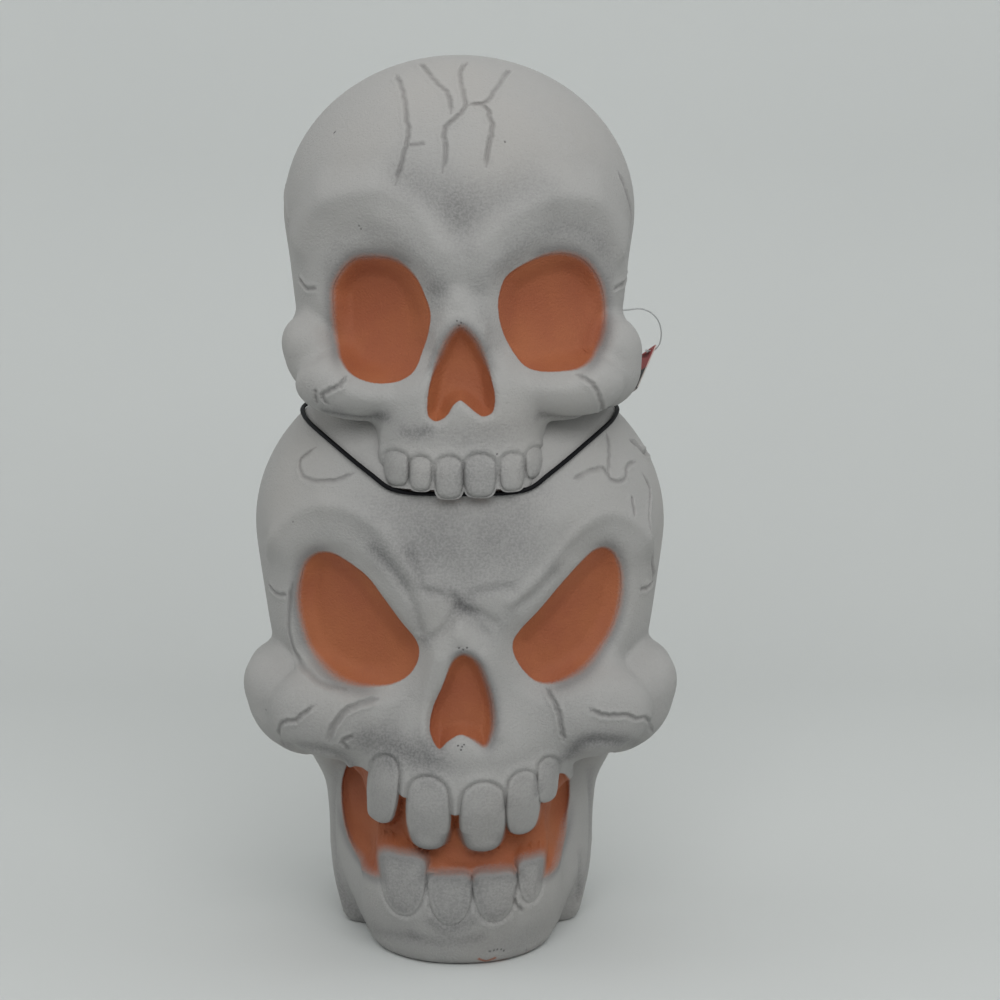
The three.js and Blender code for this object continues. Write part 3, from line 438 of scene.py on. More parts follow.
UPPER_FORM = SkullForm(
    half_width=0.123, half_depth=0.120, height=0.290, foot=0.320, centre_share=0.44,
    masses=(
        ((0, 0.06, 0.638), (0.984, 0.94, 0.362)), ((0, -0.06, 0.45), (0.92, 0.82, 0.33)),
        ((0, -0.77, 0.345), (0.16, 0.19, 0.09)), ((0, -0.45, 0.2), (0.42, 0.47, 0.2)),
    ),
    cheekbone=((0.5, -0.6, 0.245), (0.38, 0.27, 0.085)),
    cheek_lobes=(
        Block((-0.75, -0.27, 0.296), (0.205, 0.33, 0.106), 0.225, -0.28),
        Block((0.785, -0.27, 0.289), (0.21, 0.33, 0.113), 0.225, 0.05),
    ),
    brow=((0.10, -0.80, 0.523), (0.43, -0.70, 0.66), (0.66, -0.53, 0.655), (0.79, -0.33, 0.57)),
    brow_share=0.09,
    jaw_masses=(),
    jaw_blocks=(
        Block((0, -0.42, 0.06), (0.445, 0.53, 0.3), 0.34), Block((0, 0.02, 0.16), (0.68, 0.66, 0.3), 0.6),
    ),
    jaw_corners=(),
)


@dataclass(frozen=True)
class PhotoCamera:
    """The photograph's camera: its place, its turn and its focal length in pixels of a 1000 pixel frame."""

    position: Point3 = (0.0, -1.3, 0.48)
    pitch: float = math.radians(7.73)
    yaw: float = math.atan(40 / 1863)
    focal: float = 1863.0
    frame_size: float = 1000.0
    nearest: float = 1.05
    furthest: float = 1.55
    steps: int = 401

    def turn(self) -> Matrix:
        """The camera's turn, from its own axes to the frame's."""
        return Matrix.Rotation(-self.yaw, 3, "Z") @ Matrix.Rotation(math.pi / 2 - self.pitch, 3, "X")

    def place(self) -> None:
        """Makes the camera and gives it to the scene."""
        data = bpy.data.cameras.new("photo_camera")
        data.sensor_width = 36.0
        data.lens = self.focal / self.frame_size * data.sensor_width
        camera = linked("photo_camera", data)
        camera.matrix_world = Matrix.Translation(self.position) @ self.turn().to_4x4()
        bpy.context.scene.camera = camera

    def land(self, gap: Gap, pixels: Sequence[Point2]) -> Array:
        """Finds where pixels of the photograph fall on a smooth surface.

        Args:
            gap: the distance of points from the surface.
            pixels: the pixels, across and down.

        Returns:
            One point for each pixel, in metres.
        """
        turn = np.array(self.turn())
        half = self.frame_size / 2
        steps = np.linspace(self.nearest, self.furthest, self.steps)[:, None]
        landed = []
        for across, down in pixels:
            ray = turn @ np.array([(across - half) / self.focal, (half - down) / self.focal, -1.0])
            points = np.array(self.position) + steps * ray
            gaps = gap(points)
            if (gaps < 0).any():
                hit = int(np.argmax(gaps < 0))
                share = gaps[hit - 1] / (gaps[hit - 1] - gaps[hit])
                landed.append(points[hit - 1] + share * (points[hit] - points[hit - 1]))
            else:
                landed.append(points[int(np.argmin(gaps))])
        return np.array(landed)


PHOTO = PhotoCamera()


# Carved detail

class Edge(Enum):
    """How the paint ends at the rim of an opening."""

    CRISP = 0.35
    SPRAYED = 3.4


@dataclass(frozen=True)
class Opening:
    """A bare hollow in a face: middle, half size and outline shares, in millimetres over the face.

    It falls in one soft bowl from `slope_out` outside its outline to `slope_in` inside it, with a small lip
    where the paint ends. Its bottom follows an even curve up to `evened_to`, a share of its half width.
    """

    middle: Point2
    half: Point2
    outline: tuple[Point2, ...]
    depth: float = 14.0
    slope_out: float = 13.0
    slope_in: float = 14.0
    lip: float = 0.9
    sprayed_towards: Point2 = (0.0, 1.0)
    evened_to: float = 2.0

    def contour(self) -> Array:
        """The outline as a smooth closed curve in metres."""
        shares = np.array(self.outline)
        return through(shares * self.half + self.middle, 8, closed=True) * MM

    def depth_at(self, distance: Array) -> Array:
        """How deep the hollow is at distances from its outline, in metres."""
        bowl = smooth(self.slope_out * MM, -self.slope_in * MM, distance)
        return (self.depth * bowl + self.lip * smooth(0.0, 1.1 * MM, -distance)) * MM


@dataclass(frozen=True)
class Tooth:
    """A tooth that stands proud of a gum: its sizes in millimetres, its lean and which way it grows."""

    middle: Point2
    half: Point2
    lean: float = 0.0
    upward: bool = False
    proud: float = 4.5
    edge: float = 6.0
    grey: float = 0.3
    outline: tuple[Point2, ...] = (
        (-0.84, 0.8), (-1.0, 0.3), (-0.96, -0.45), (-0.68, -0.9), (0, -1.02), (0.68, -0.9), (0.96, -0.45),
        (1.0, 0.3), (0.84, 0.8), (0.45, 1.0), (0, 1.06), (-0.45, 1.0),
    )

    @property
    def sign(self) -> float:
        """Which way its root lies, 1 for up and -1 for down."""
        return -1.0 if self.upward else 1.0

    def contour(self) -> Array:
        """The outline as a smooth closed curve in metres."""
        shares = np.array(self.outline)
        across = shares[:, 0] * self.half[0] - self.lean * shares[:, 1] * self.half[1]
        corners = np.stack([across, shares[:, 1] * self.half[1]], axis=1) * self.sign + self.middle
        return through(corners, 8, closed=True) * MM

    def rootward(self, heights: Array) -> Array:
        """How far towards the root each height lies, from -1 at the tip to 1 at the root."""
        return (heights / MM - self.middle[1]) / self.half[1] * self.sign


SHIELD = (
    (-0.97, -0.84), (-0.7, -1.0), (0, -1.02), (0.7, -1.0), (0.97, -0.84), (0.98, -0.3), (0.86, 0.3),
    (0.6, 0.78), (0.25, 1.02), (-0.25, 1.02), (-0.6, 0.78), (-0.86, 0.3), (-0.98, -0.3),
)


@dataclass(frozen=True)
class Stroke:
    """A soft ridge, groove or pass of grey along a line of the photograph's pixels: airbrushed grey, with
    painted shade where it follows a groove or crease.
    """

    pixels: tuple[Point2, ...]
    rise: float = 0.0
    width: float = 5.0
    grey: float = 0.0
    grey_width: float = 10.0


@dataclass(frozen=True)
class Crack:
    """A carved crack with raised lips along a line of the photograph's pixels."""

    pixels: tuple[Point2, ...]
    depth: float = 1.5
    width: float = 1.2
    wobble: float = 0.3

    def line(self, gap: Gap) -> Array:
        """The crack's line over the face, a little unsteady as it was cut by hand.

        Args:
            gap: the distance from the form, which the line is landed on.

        Returns:
            The line's points.
        """
        curve = through(PHOTO.land(gap, self.pixels), 5)
        chance = np.random.default_rng(round(self.pixels[0][0] * 1000 + self.pixels[0][1]))
        return curve + chance.normal(0.0, self.wobble * MM, curve.shape)


@dataclass(frozen=True)
class Speck:
    """Small marks at pixels of the photograph: pits, or chips that bare the foam."""

    pixels: tuple[Point2, ...]
    radius: float = 0.7
    chip: bool = False


@dataclass
class Relief:
    """What is carved and painted at each corner of a skull's surface."""

    height: Array
    straight: Array
    rim: Array
    softness: Array
    grey: Array
    crack: Array
    detail: Array


@dataclass(frozen=True)
class Face:
    """A skull's carved face."""

    openings: tuple[Opening, ...]
    teeth: tuple[Tooth, ...]
    strokes: tuple[Stroke, ...]
    cracks: tuple[Crack, ...]
    specks: tuple[Speck, ...]
    mouth: Opening | None = None

    @property
    def sunk(self) -> tuple[Opening, ...]:
        """Everything that is sunk in the face, the mouth last."""
        return self.openings + ((self.mouth,) if self.mouth else ())

    def evened(self, surface: Array) -> list[Array]:
        """Fits an even curve to the smooth surface round the rim of everything that is sunk in it.

        Args:
            surface: the smooth surface's points.

        Returns:
            The numbers of one curve for each opening.
        """
        front = surface[surface[:, 1] < -0.03]
        fits = []
        for opening in self.sunk:
            distance = outline_distance(front[:, [0, 2]], opening.contour(), OUTLINE_REACH)
            ring = front[(distance > -2 * MM) & (distance < 5 * MM)]
            fits.append(np.linalg.lstsq(quadratic(ring), ring[:, 1], rcond=None)[0])
        return fits

    def carve(
        self, gap: Gap, surface: Array, evened: list[Array], grown: float, sunk_by: float,
    ) -> Relief:
        """Works out the carving and paint at points of a skull's smooth surface.

        Args:
            gap: the distance of points from the skull's smooth outside.
            surface: the points, one row each.
            evened: the even curves that the openings' bottoms follow.
            grown: how much every opening is grown, in metres.
            sunk_by: how far behind the skull's outside the points lie.

        Returns:
            The relief, with heights in metres along the rays from the skull's centre.
        """
        spots = surface[:, [0, 2]].copy()
        spots[surface[:, 1] > FRONT_EDGE] += FAR
        count = len(surface)
        height, grey = np.zeros(count), np.zeros(count)
        for stroke in self.strokes:
            line = through(PHOTO.land(gap, stroke.pixels), 4)
            reach = 3 * max(stroke.width, stroke.grey_width) * MM
            distance, along = line_distance(surface, line, reach)
            length = np.linalg.norm(np.diff(line, axis=0), axis=1).sum()
            fade = smooth(-0.4, 1.6, np.minimum(along, 1 - along) * length / (stroke.width * MM))
            height += stroke.rise * MM * bell(distance, stroke.width * MM) * fade
            # Airbrushed grey, and painted shade where the stroke is a groove or crease
            grey += stroke.grey * bell(distance, stroke.grey_width * MM)
        rim, softness = np.full(count, FAR), np.full(count, Edge.CRISP.value * MM)
        detail, straight = np.full(count, FAR), np.zeros(count)
        for opening, fit in zip(self.sunk, evened):
            distance = outline_distance(spots, opening.contour(), OUTLINE_REACH) - grown
            height = height * (1 - smooth(0.0, 6 * MM, -distance)) - opening.depth_at(distance)
            near = distance + grown < 2 * MM
            behind = surface[near, 1] - quadratic(surface[near]) @ fit - sunk_by
            across = np.abs(spots[near, 0] / MM - opening.middle[0]) / opening.half[0]
            share = smooth(opening.evened_to, opening.evened_to - 0.6, across)
            height[near] += share * smooth(-1 * MM, 14 * MM, -distance[near] - grown) * behind
            if opening is not self.mouth:
                straight = np.maximum(straight, smooth(22 * MM, 6 * MM, distance))
            out = unit(spots - np.array(opening.middle) * MM)
            sprayed = smooth(-0.4, 0.9, out @ np.array(opening.sprayed_towards))
            edge = (Edge.CRISP.value + (Edge.SPRAYED.value - Edge.CRISP.value) * sprayed) * MM
            nearer = distance < rim
            rim, softness = np.where(nearer, distance, rim), np.where(nearer, edge, softness)
            detail = np.minimum(detail, np.abs(distance + 0.5 * MM))
        gum_base = smooth(-3 * MM, -0.5 * MM, height)
        for tooth in self.teeth:
            distance = outline_distance(spots, tooth.contour(), TOOTH_REACH)
            root = tooth.rootward(spots[:, 1])
            into = np.clip(-distance / (tooth.edge * MM), 0.0, 1.0)
            proud = tooth.proud * (1 - 0.65 * smooth(0.1, 1.1, root))
            cushion = proud * MM * np.sqrt(1 - (1 - into) ** 2)
            shape = np.where(distance < 0, cushion, -3.0 * distance)
            arc = smooth(-0.6, 0.6, root)
            swell = 1.1 * arc * bell(distance - 3.4 * MM, 2.0 * MM)
            seam = (0.9 - 0.3 * arc) * bell(distance, 1.7 * MM)
            height = np.maximum(height + (swell - seam) * MM * gum_base, shape)
            grey += tooth.grey * smooth(0.4 * MM, 3.5 * MM, -distance)
            # Painted shade round the tooth, in the seam where it meets the gum
            grey += (0.16 * bell(distance - 0.4 * MM, 1.9 * MM) + 0.08 * bell(distance, 5 * MM)) * gum_base
            rim = np.where(distance < 6 * MM, np.maximum(rim, 1.0 * MM - distance), rim)
            detail = np.minimum(detail, np.abs(distance))
        crack_gap = np.full(count, FAR)
        groove, lips = np.zeros(count), np.zeros(count)
        for crack in self.cracks:
            distance, along = line_distance(surface, crack.line(gap), CRACK_REACH)
            fade = smooth(0.0, 0.08, along) * smooth(1.0, 0.9, along) * 0.8 + 0.2
            groove = np.maximum(groove, crack.depth * fade * bell(distance, crack.width * MM))
            raised = 0.5 * crack.depth * fade * bell(distance - (crack.width + 1.6) * MM, 1.3 * MM)
            lips = np.maximum(lips, raised)
            crack_gap = np.minimum(crack_gap, distance / (0.4 + 0.6 * fade) * (1.2 / crack.width))
        height += (lips * np.clip(1 - groove, 0, 1) - groove) * MM
        for speck in self.specks:
            landed = PHOTO.land(gap, speck.pixels)
            if speck.chip:
                distance = line_distance(surface, landed, 0.01)[0] - speck.radius * MM
                softness = np.where(distance < 2 * MM, 0.9 * MM, softness)
                rim = np.minimum(rim, distance)
            else:
                distance = np.linalg.norm(surface[:, None] - landed, axis=2).min(axis=1) - speck.radius * MM
                height -= 1.0 * MM * smooth(0.5 * MM, -0.5 * MM, distance)
                grey += 1.6 * smooth(0.4 * MM, -0.2 * MM, distance)
            detail = np.minimum(detail, np.maximum(distance, 0))
        detail = np.minimum(detail, np.maximum(crack_gap - 1.0 * MM, 0))
        return Relief(height, straight, rim, softness, np.clip(grey, 0, 1.6), crack_gap, detail)


UPPER_FACE = Face(
    openings=(
        Opening(
            (-51.3, 433.6), (32.5, 40.8),
            ((-0.97, 0.54), (-0.59, 0.93), (-0.16, 1.0), (0.32, 0.94), (0.7, 0.69), (0.89, 0.39), (1.0, 0.1),
             (0.96, -0.19), (0.84, -0.49), (0.67, -0.8), (0.41, -0.95), (0.12, -1.0), (-0.27, -0.97),
             (-0.6, -0.84), (-0.82, -0.61), (-0.96, -0.22), (-1.0, 0.19)),
            sprayed_towards=(-0.8, 0.6),
        ),
        Opening(
            (59.6, 438.3), (34.8, 38.0),
            ((-0.99, 0.29), (-0.86, 0.6), (-0.52, 0.82), (-0.08, 0.98), (0.27, 1.0), (0.66, 0.87),
             (0.97, 0.5), (1.08, 0.07), (1.03, -0.35), (0.84, -0.73), (0.55, -0.94), (0.16, -1.0),
             (-0.29, -0.99), (-0.52, -0.9), (-0.74, -0.65), (-0.92, -0.32), (-1.0, 0.0)),
            sprayed_towards=(0.9, 0.4),
        ),
        Opening(
            (0.8, 399.6), (21.6, 30.1),
            ((-0.03, 1.0), (-0.36, 0.8), (-0.64, 0.39), (-0.9, -0.12), (-1.0, -0.54), (-0.97, -0.9),
             (-0.75, -1.0), (-0.46, -0.9), (-0.21, -0.64), (-0.03, -0.56), (0.14, -0.64), (0.44, -0.82),
             (0.65, -0.9), (0.91, -0.82), (1.0, -0.54), (0.9, -0.12), (0.69, 0.34), (0.36, 0.8)),
            depth=11, slope_out=4, slope_in=8,
        ),
    ),
    teeth=(
        Tooth((-41.4, 338.0), (8.0, 10.3), proud=3.4, grey=0.1),
        Tooth((-25.6, 335.6), (7.0, 10.2), proud=3.2, grey=0.1),
        Tooth((-7.2, 333.2), (8.9, 12.6), proud=3.6, grey=0.2),
        Tooth((12.6, 334.4), (10.1, 12.9), proud=3.6, grey=0.2),
        Tooth((33.5, 336.0), (7.9, 11.3), proud=3.2, grey=0.1),
        Tooth((48.3, 340.3), (5.5, 9.3), proud=3.0, grey=0.1),
    ),
    strokes=(
        Stroke(((302, 262), (301, 238), (308, 214), (326, 199), (350, 192), (380, 190), (403, 200),
                (420, 217), (435, 238), (450, 262)), 1.9, 6.5),
        Stroke(((470, 260), (487, 237), (512, 217), (542, 202), (575, 196), (602, 205), (617, 230),
                (621, 265)), 1.9, 6.5),
        Stroke(((330, 262), (340, 244), (357, 236), (382, 235), (405, 245), (422, 262), (433, 288)),
               -0.8, 8, 0.42, 11),
        Stroke(((500, 268), (522, 246), (550, 233), (580, 232), (602, 250), (610, 275)), -0.8, 8, 0.45, 11),
        Stroke(((402, 174), (430, 190), (460, 198), (500, 200), (536, 188)), -0.6, 12, 0.38, 19),
        Stroke(((455, 214), (460, 232), (462, 250)), -1.2, 10, 0.34, 14),
        Stroke(((456, 284), (457, 298), (459, 312)), 2.2, 5),
        Stroke(((441, 286), (437, 312), (431, 345)), -1.2, 5, 0.30, 8),
        Stroke(((477, 286), (484, 314), (492, 345)), -1.2, 5, 0.30, 8),
        Stroke(((434, 322), (436, 345), (428, 378)), 1.4, 4),
        Stroke(((485, 322), (484, 345), (495, 378)), 1.4, 4),
        # Grooves under the cheekbones, their grey painted shade in the crevice
        Stroke(((326, 412), (348, 417), (370, 418), (386, 416)), -2.0, 4, 0.75, 5),
        Stroke(((540, 415), (560, 418), (584, 417), (610, 412)), -2.0, 4, 0.75, 5),
        Stroke(((384, 412), (382, 440), (384, 470)), 1.4, 4),
        Stroke(((544, 412), (545, 440), (545, 468)), 1.4, 4),
        Stroke(((400, 428), (430, 432), (462, 438), (500, 432), (526, 426)), -0.6, 8, 0.38, 12),
        Stroke(((404, 432), (416, 434), (428, 430)), 0, 8, 0.35, 4),
        Stroke(((388, 470), (460, 478), (540, 468)), 0, 8, 0.22, 13),
        Stroke(((306, 380), (318, 398), (338, 410)), 0, 8, 0.3, 9),
    ),
    cracks=(
        Crack(((396, 75), (402, 88), (406, 113), (408, 137), (402, 161), (395, 185))),
        Crack(((409, 145), (425, 144)), 0.7),
        Crack(((420, 63), (429, 74), (440, 86), (448, 94), (451, 113))),
        Crack(((467, 62), (460, 76), (463, 91), (465, 107), (455, 118), (444, 130), (446, 149), (442, 173))),
        Crack(((510, 70), (498, 86), (486, 102), (469, 105))),
        Crack(((469, 105), (481, 104), (489, 113), (492, 132), (489, 144), (486, 166))),
        Crack(((619, 173), (627, 195), (631, 215), (629, 240)), 1.2, 1.8), Crack(((286, 185), (289, 224))),
        Crack(((299, 278), (306, 288), (316, 289))), Crack(((614, 289), (623, 284), (629, 274))),
        Crack(((346, 377), (340, 385), (328, 391), (322, 397), (329, 404))), Crack(((315, 390), (317, 403))),
        Crack(((577, 375), (587, 380), (596, 389), (600, 400), (602, 412))),
    ),
    specks=(
        Speck(((457, 321), (461, 323), (459, 326)), 0.4), Speck(((334, 133), (335, 132)), 0.45),
        Speck(((505, 142), (497, 454)), 0.4), Speck(((359, 226), (361, 229)), 0.35),
    ),
)
LOWER_FACE = Face(
    openings=(
        Opening(
            (-66.6, 236.0), (39.4, 43.7),
            ((-1.05, 0.52), (-0.93, 0.82), (-0.71, 0.98), (-0.47, 1.0), (-0.19, 0.89), (0.14, 0.69),
             (0.42, 0.37), (0.71, 0.02), (0.94, -0.24), (1.0, -0.41), (0.95, -0.63), (0.8, -0.83),
             (0.56, -0.96), (0.32, -1.0), (-0.03, -0.99), (-0.34, -0.91), (-0.63, -0.75), (-0.89, -0.52),
             (-1.03, -0.17), (-1.09, 0.2)),
            sprayed_towards=(-0.9, -0.3),
        ),
        Opening(
            (70.3, 237.5), (35.8, 44.2),
            ((-1.0, -0.31), (-0.87, -0.14), (-0.53, 0.14), (-0.12, 0.51), (0.25, 0.81), (0.51, 0.97),
             (0.71, 1.0), (0.89, 0.91), (1.05, 0.63), (1.07, 0.27), (0.98, -0.1), (0.77, -0.44),
             (0.42, -0.75), (0.05, -0.92), (-0.31, -1.0), (-0.58, -0.96), (-0.84, -0.75), (-1.0, -0.48)),
            sprayed_towards=(0.9, -0.3),
        ),
        Opening(
            (0.3, 186.6), (20.5, 31.5),
            ((0.06, 1.0), (-0.25, 0.88), (-0.61, 0.31), (-0.94, -0.24), (-1.0, -0.67), (-0.71, -1.0),
             (-0.44, -0.85), (-0.03, -0.71), (0.38, -0.82), (0.75, -0.96), (0.97, -0.67), (1.0, -0.24),
             (0.83, 0.31), (0.47, 0.85)),
            depth=11, slope_out=5, slope_in=8, sprayed_towards=(0.9, 0.3),
        ),
    ),
    mouth=Opening(
        (-1.5, 99.3), (77.4, 38.5),
        ((-0.93, 0.88), (-1.02, 0.5), (-1.07, 0.12), (-1.06, -0.28), (-1.02, -0.65), (-0.95, -0.92),
         (-0.86, -1.06), (-0.74, -1.04), (-0.6, -0.87), (-0.3, -0.78), (0, -0.88), (0.35, -0.88),
         (0.6, -0.82), (0.75, -1.04),
         (0.84, -1.0), (0.92, -0.78), (0.97, -0.33), (1.0, 0.1), (0.99, 0.45), (0.9, 0.77), (0.8, 0.76),
         (0.66, 0.52), (0.4, 0.4), (0.1, 0.3), (-0.2, 0.35), (-0.5, 0.6), (-0.75, 0.85), (-0.84, 0.94)),
        depth=6, slope_out=1.5, slope_in=6, lip=1.6, sprayed_towards=(0, -1), evened_to=0.95,
    ),
    teeth=(
        Tooth((-52.3, 122.0), (10.1, 24.2), lean=-0.12), Tooth((-21.7, 110.1), (13.8, 25.3), proud=5.5),
        Tooth((14.2, 107.6), (14.5, 24.2), proud=5.5), Tooth((40.8, 114.5), (11.0, 22.0)),
        Tooth((57.9, 127.7), (7.3, 15.6)),
        Tooth((-39.3, 58.1), (16.0, 20.7), 0, True, 2.4, 5, 0.42, SHIELD),
        Tooth((-7.6, 49.8), (14.9, 17.2), 0, True, 2.4, 5, 0.42, SHIELD),
        Tooth((22.1, 51.2), (14.8, 16.8), 0, True, 2.4, 5, 0.42, SHIELD),
        Tooth((46.7, 59.1), (9.0, 14.8), 0, True, 2.4, 4, 0.42, SHIELD),
    ),
    strokes=(
        Stroke(((268, 562), (276, 531), (292, 514), (315, 505), (340, 506), (362, 516), (384, 535),
                (400, 557), (418, 580), (432, 591)), 2.6, 5),
        Stroke(((352, 562), (380, 590), (402, 617), (420, 642)), 1.6, 4),
        Stroke(((375, 550), (398, 578), (414, 608), (422, 638)), -2.2, 3.2, 0.28, 6),
        Stroke(((374, 550), (392, 568), (404, 584)), 0, 8, 0.22, 5),
        Stroke(((407, 551), (418, 573), (424, 589), (446, 596)), -2.2, 3, 0.24, 5),
        Stroke(((451, 592), (457, 601), (463, 610), (476, 612)), -1.8, 2.6, 0.22, 4),
        Stroke(((472, 594), (498, 589), (516, 587)), -1.6, 3, 0.22, 5),
        Stroke(((470, 609), (484, 617), (500, 627)), -1.8, 3.5, 0.26, 6),
        Stroke(((459, 602), (453, 618), (442, 632), (427, 642)), -2.4, 3.2, 0.34, 6),
        Stroke(((463, 608), (477, 626), (491, 640)), -1.8, 3.5, 0.26, 6),
        Stroke(((505, 608), (523, 592), (543, 573), (567, 543), (590, 522), (612, 513), (636, 522),
                (650, 548), (653, 577)), 2.6, 4.5),
        Stroke(((514, 610), (537, 592), (556, 570)), -1.8, 3, 0.26, 6),
        Stroke(((518, 628), (551, 590), (582, 558)), 1.2, 3.5),
        Stroke(((300, 538), (322, 524), (350, 530), (378, 552)), -0.8, 8, 0.10, 11),
        Stroke(((560, 560), (584, 540), (610, 532), (634, 545), (641, 580)), -0.8, 7, 0.10, 10),
        # Painted shadow of the upper skull on the lower forehead
        Stroke(((424, 548), (460, 572), (508, 556)), -0.8, 14, 0.34, 24),
        Stroke(((459, 615), (459, 632), (460, 648)), 3.2, 5.5),
        Stroke(((440, 650), (428, 684), (423, 716), (424, 746)), 2.0, 4.5),
        Stroke(((478, 650), (492, 684), (500, 716), (502, 746)), 2.0, 4.5),
        Stroke(((412, 690), (396, 716), (384, 738)), -1.2, 5, 0.16, 8),
        # Grooves under the cheekbones, their grey painted shade in the recess
        Stroke(((252, 748), (275, 752), (303, 747), (332, 752), (352, 764)), -2.5, 4, 0.5, 7),
        Stroke(((660, 748), (645, 752), (618, 742), (585, 742), (568, 756)), -2.5, 4, 0.6, 7),
        Stroke(((336, 770), (333, 820), (337, 880), (350, 908), (364, 922)), -2.2, 4.5, 0.35, 6),
        Stroke(((590, 770), (591, 820), (588, 872), (572, 906), (560, 920)), -2.2, 4.5, 0.40, 6),
        Stroke(((579, 852), (580, 874), (578, 894)), -1.2, 2.5, 0.35, 3.5),
        Stroke(((350, 762), (344, 800), (350, 840), (366, 874)), 1.2, 4),
        Stroke(((572, 768), (572, 800), (562, 845), (550, 876)), 1.2, 4),
        Stroke(((362, 918), (384, 934), (414, 936)), -1.0, 3, 0.25, 5),
        Stroke(((428, 920), (443, 930), (459, 928), (474, 920)), -1.0, 2.2, 0.35, 4),
        Stroke(((412, 936), (446, 943), (482, 937)), -0.9, 2.2, 0.30, 4),
        Stroke(((350, 900), (400, 935), (460, 946), (520, 940), (560, 905)), 0, 8, 0.22, 26),
        # Painted shadow of the upper skull on the lower forehead
        Stroke(((392, 505), (460, 520), (528, 505)), 0, 8, 0.34, 34),
        Stroke(((372, 742), (398, 746), (430, 752)), 0, 8, 0.6, 14),
        Stroke(((548, 700), (600, 728), (650, 720)), 0, 8, 0.2, 22),
        Stroke(((270, 700), (310, 728), (350, 725)), 0, 8, 0.2, 22),
        Stroke(((398, 756), (430, 766), (470, 770), (510, 764), (540, 752)), -0.8, 6, 0.26, 9),
    ),
    cracks=(
        Crack(((316, 447), (305, 456), (300, 462), (303, 476), (317, 481), (335, 480), (355, 473))),
        Crack(((607, 433), (609, 456), (610, 479), (625, 479), (627, 467), (636, 462))),
        Crack(((573, 479), (596, 469), (603, 469), (610, 479))),
        Crack(((642, 473), (650, 490), (650, 528), (652, 580))), Crack(((632, 496), (634, 516))),
        Crack(((269, 585), (277, 594), (286, 595))), Crack(((640, 589), (648, 588), (653, 581))),
        Crack(((292, 585), (289, 610), (290, 637), (296, 655), (306, 670), (323, 684), (345, 691)),
              1.3, 1.9, 0.2),
        Crack(((315, 706), (302, 715), (296, 720), (283, 723), (279, 733), (284, 746))),
        Crack(((378, 700), (349, 709), (335, 723), (329, 741)), 1.6, 1.7),
        Crack(((353, 736), (344, 741), (348, 750))),
        Crack(((630, 440), (637, 446), (643, 453), (650, 449)), 2.2, 1.8),
        Crack(((589, 709), (600, 714), (610, 716), (625, 715), (636, 719), (646, 718), (653, 732))),
        Crack(((547, 690), (556, 706), (561, 723), (563, 741)), 1.6),
        Crack(((516, 884), (514, 900), (522, 911)), 1.2),
    ),
    specks=(
        Speck(((459, 648), (463, 650), (467, 648)), 0.45),
        Speck(((458, 746), (462, 747), (461, 750), (464, 745)), 0.4),
        Speck(((490, 951), (494, 950), (497, 950), (501, 950), (504, 951), (526, 950), (433, 962)), 0.5),
        Speck(((452, 966), (468, 965), (480, 964), (494, 962), (506, 959)), 1.0, True),
        Speck(((479, 959), (486, 961), (495, 958)), 0.9, True), Speck(((521, 955), (529, 951)), 0.4, True),
        Speck(((293, 522), (266, 710)), 0.4),
    ),
)


# Mesh helpers

def linked(name: str, data: bpy.types.ID) -> Piece:
    """Puts a mesh, a lamp or a camera in the scene, at the origin.

    Args:
        name: the object's name.
        data: the mesh, the lamp or the camera.

    Returns:
        The object.
    """
    made = bpy.data.objects.new(name, data)
    bpy.context.scene.collection.objects.link(made)
    return made


def mesh_object(name: str, points: Array, faces: Sequence[Sequence[int]]) -> Piece:
    """Makes a mesh object from faces of any size.

    Args:
        name: the object's name.
        points: its corners, in metres.
        faces: the corners of each face.

    Returns:
        The object.
    """
    mesh = bpy.data.meshes.new(name)
    mesh.from_pydata([tuple(p) for p in points], [], [tuple(f) for f in faces])
    mesh.validate()
    return linked(name, mesh)


def triangle_object(name: str, points: Array, triangles: Array) -> Piece:
    """Makes a mesh object from many triangles at once.

    Args:
        name: the object's name.
        points: its corners, in metres.
        triangles: the three corners of each triangle.

    Returns:
        The object.
    """
    mesh = bpy.data.meshes.new(name)
    mesh.vertices.add(len(points))
    mesh.vertices.foreach_set("co", np.asarray(points, dtype=np.float32).ravel())
    mesh.loops.add(triangles.size)
    mesh.loops.foreach_set("vertex_index", np.asarray(triangles, dtype=np.int32).ravel())
    mesh.polygons.add(len(triangles))
    mesh.polygons.foreach_set("loop_start", np.arange(0, triangles.size, 3, dtype=np.int32))
    mesh.update(calc_edges=True)
    return linked(name, mesh)


def points_of(made: Piece) -> Array:
    """The corners of a mesh object, one row each."""
    points = np.empty(len(made.data.vertices) * 3, dtype=np.float32)
    made.data.vertices.foreach_get("co", points)
    return points.reshape(-1, 3).astype(float)


def kept_on(made: Piece, numbers: dict[str, Array]) -> None:
    """Keeps numbers on a mesh's corners, for its material to read.

    Args:
        made: the mesh object.
        numbers: a name and one number for each corner.
    """
    for name, values in numbers.items():
        layer = made.data.attributes.new(name, "FLOAT", "POINT")
        layer.data.foreach_set("value", values.astype(np.float32))


def frozen(made: Piece) -> Piece:
    """Turns what an object's modifiers give into its plain mesh, and drops the modifiers.

    Args:
        made: the object.

    Returns:
        The same object.
    """
    graph = bpy.context.evaluated_depsgraph_get()
    result = bpy.data.meshes.new_from_object(made.evaluated_get(graph), depsgraph=graph)
    made.modifiers.clear()
    made.data = result
    return made


def combined(made: Piece, other: Piece, operation: str) -> Piece:
    """Joins another solid to a solid, or cuts it away, and removes the other one.

    Args:
        made: the solid that stays.
        other: the solid that is used up.
        operation: UNION or DIFFERENCE.

    Returns:
        The solid that stays.
    """
    modifier = made.modifiers.new("combine", "BOOLEAN")
    modifier.operation = operation
    modifier.solver = "MANIFOLD"
    modifier.object = other
    bpy.context.view_layer.update()
    frozen(made)
    mesh = other.data
    bpy.data.objects.remove(other)
    if mesh.users == 0:
        bpy.data.meshes.remove(mesh)
    return made


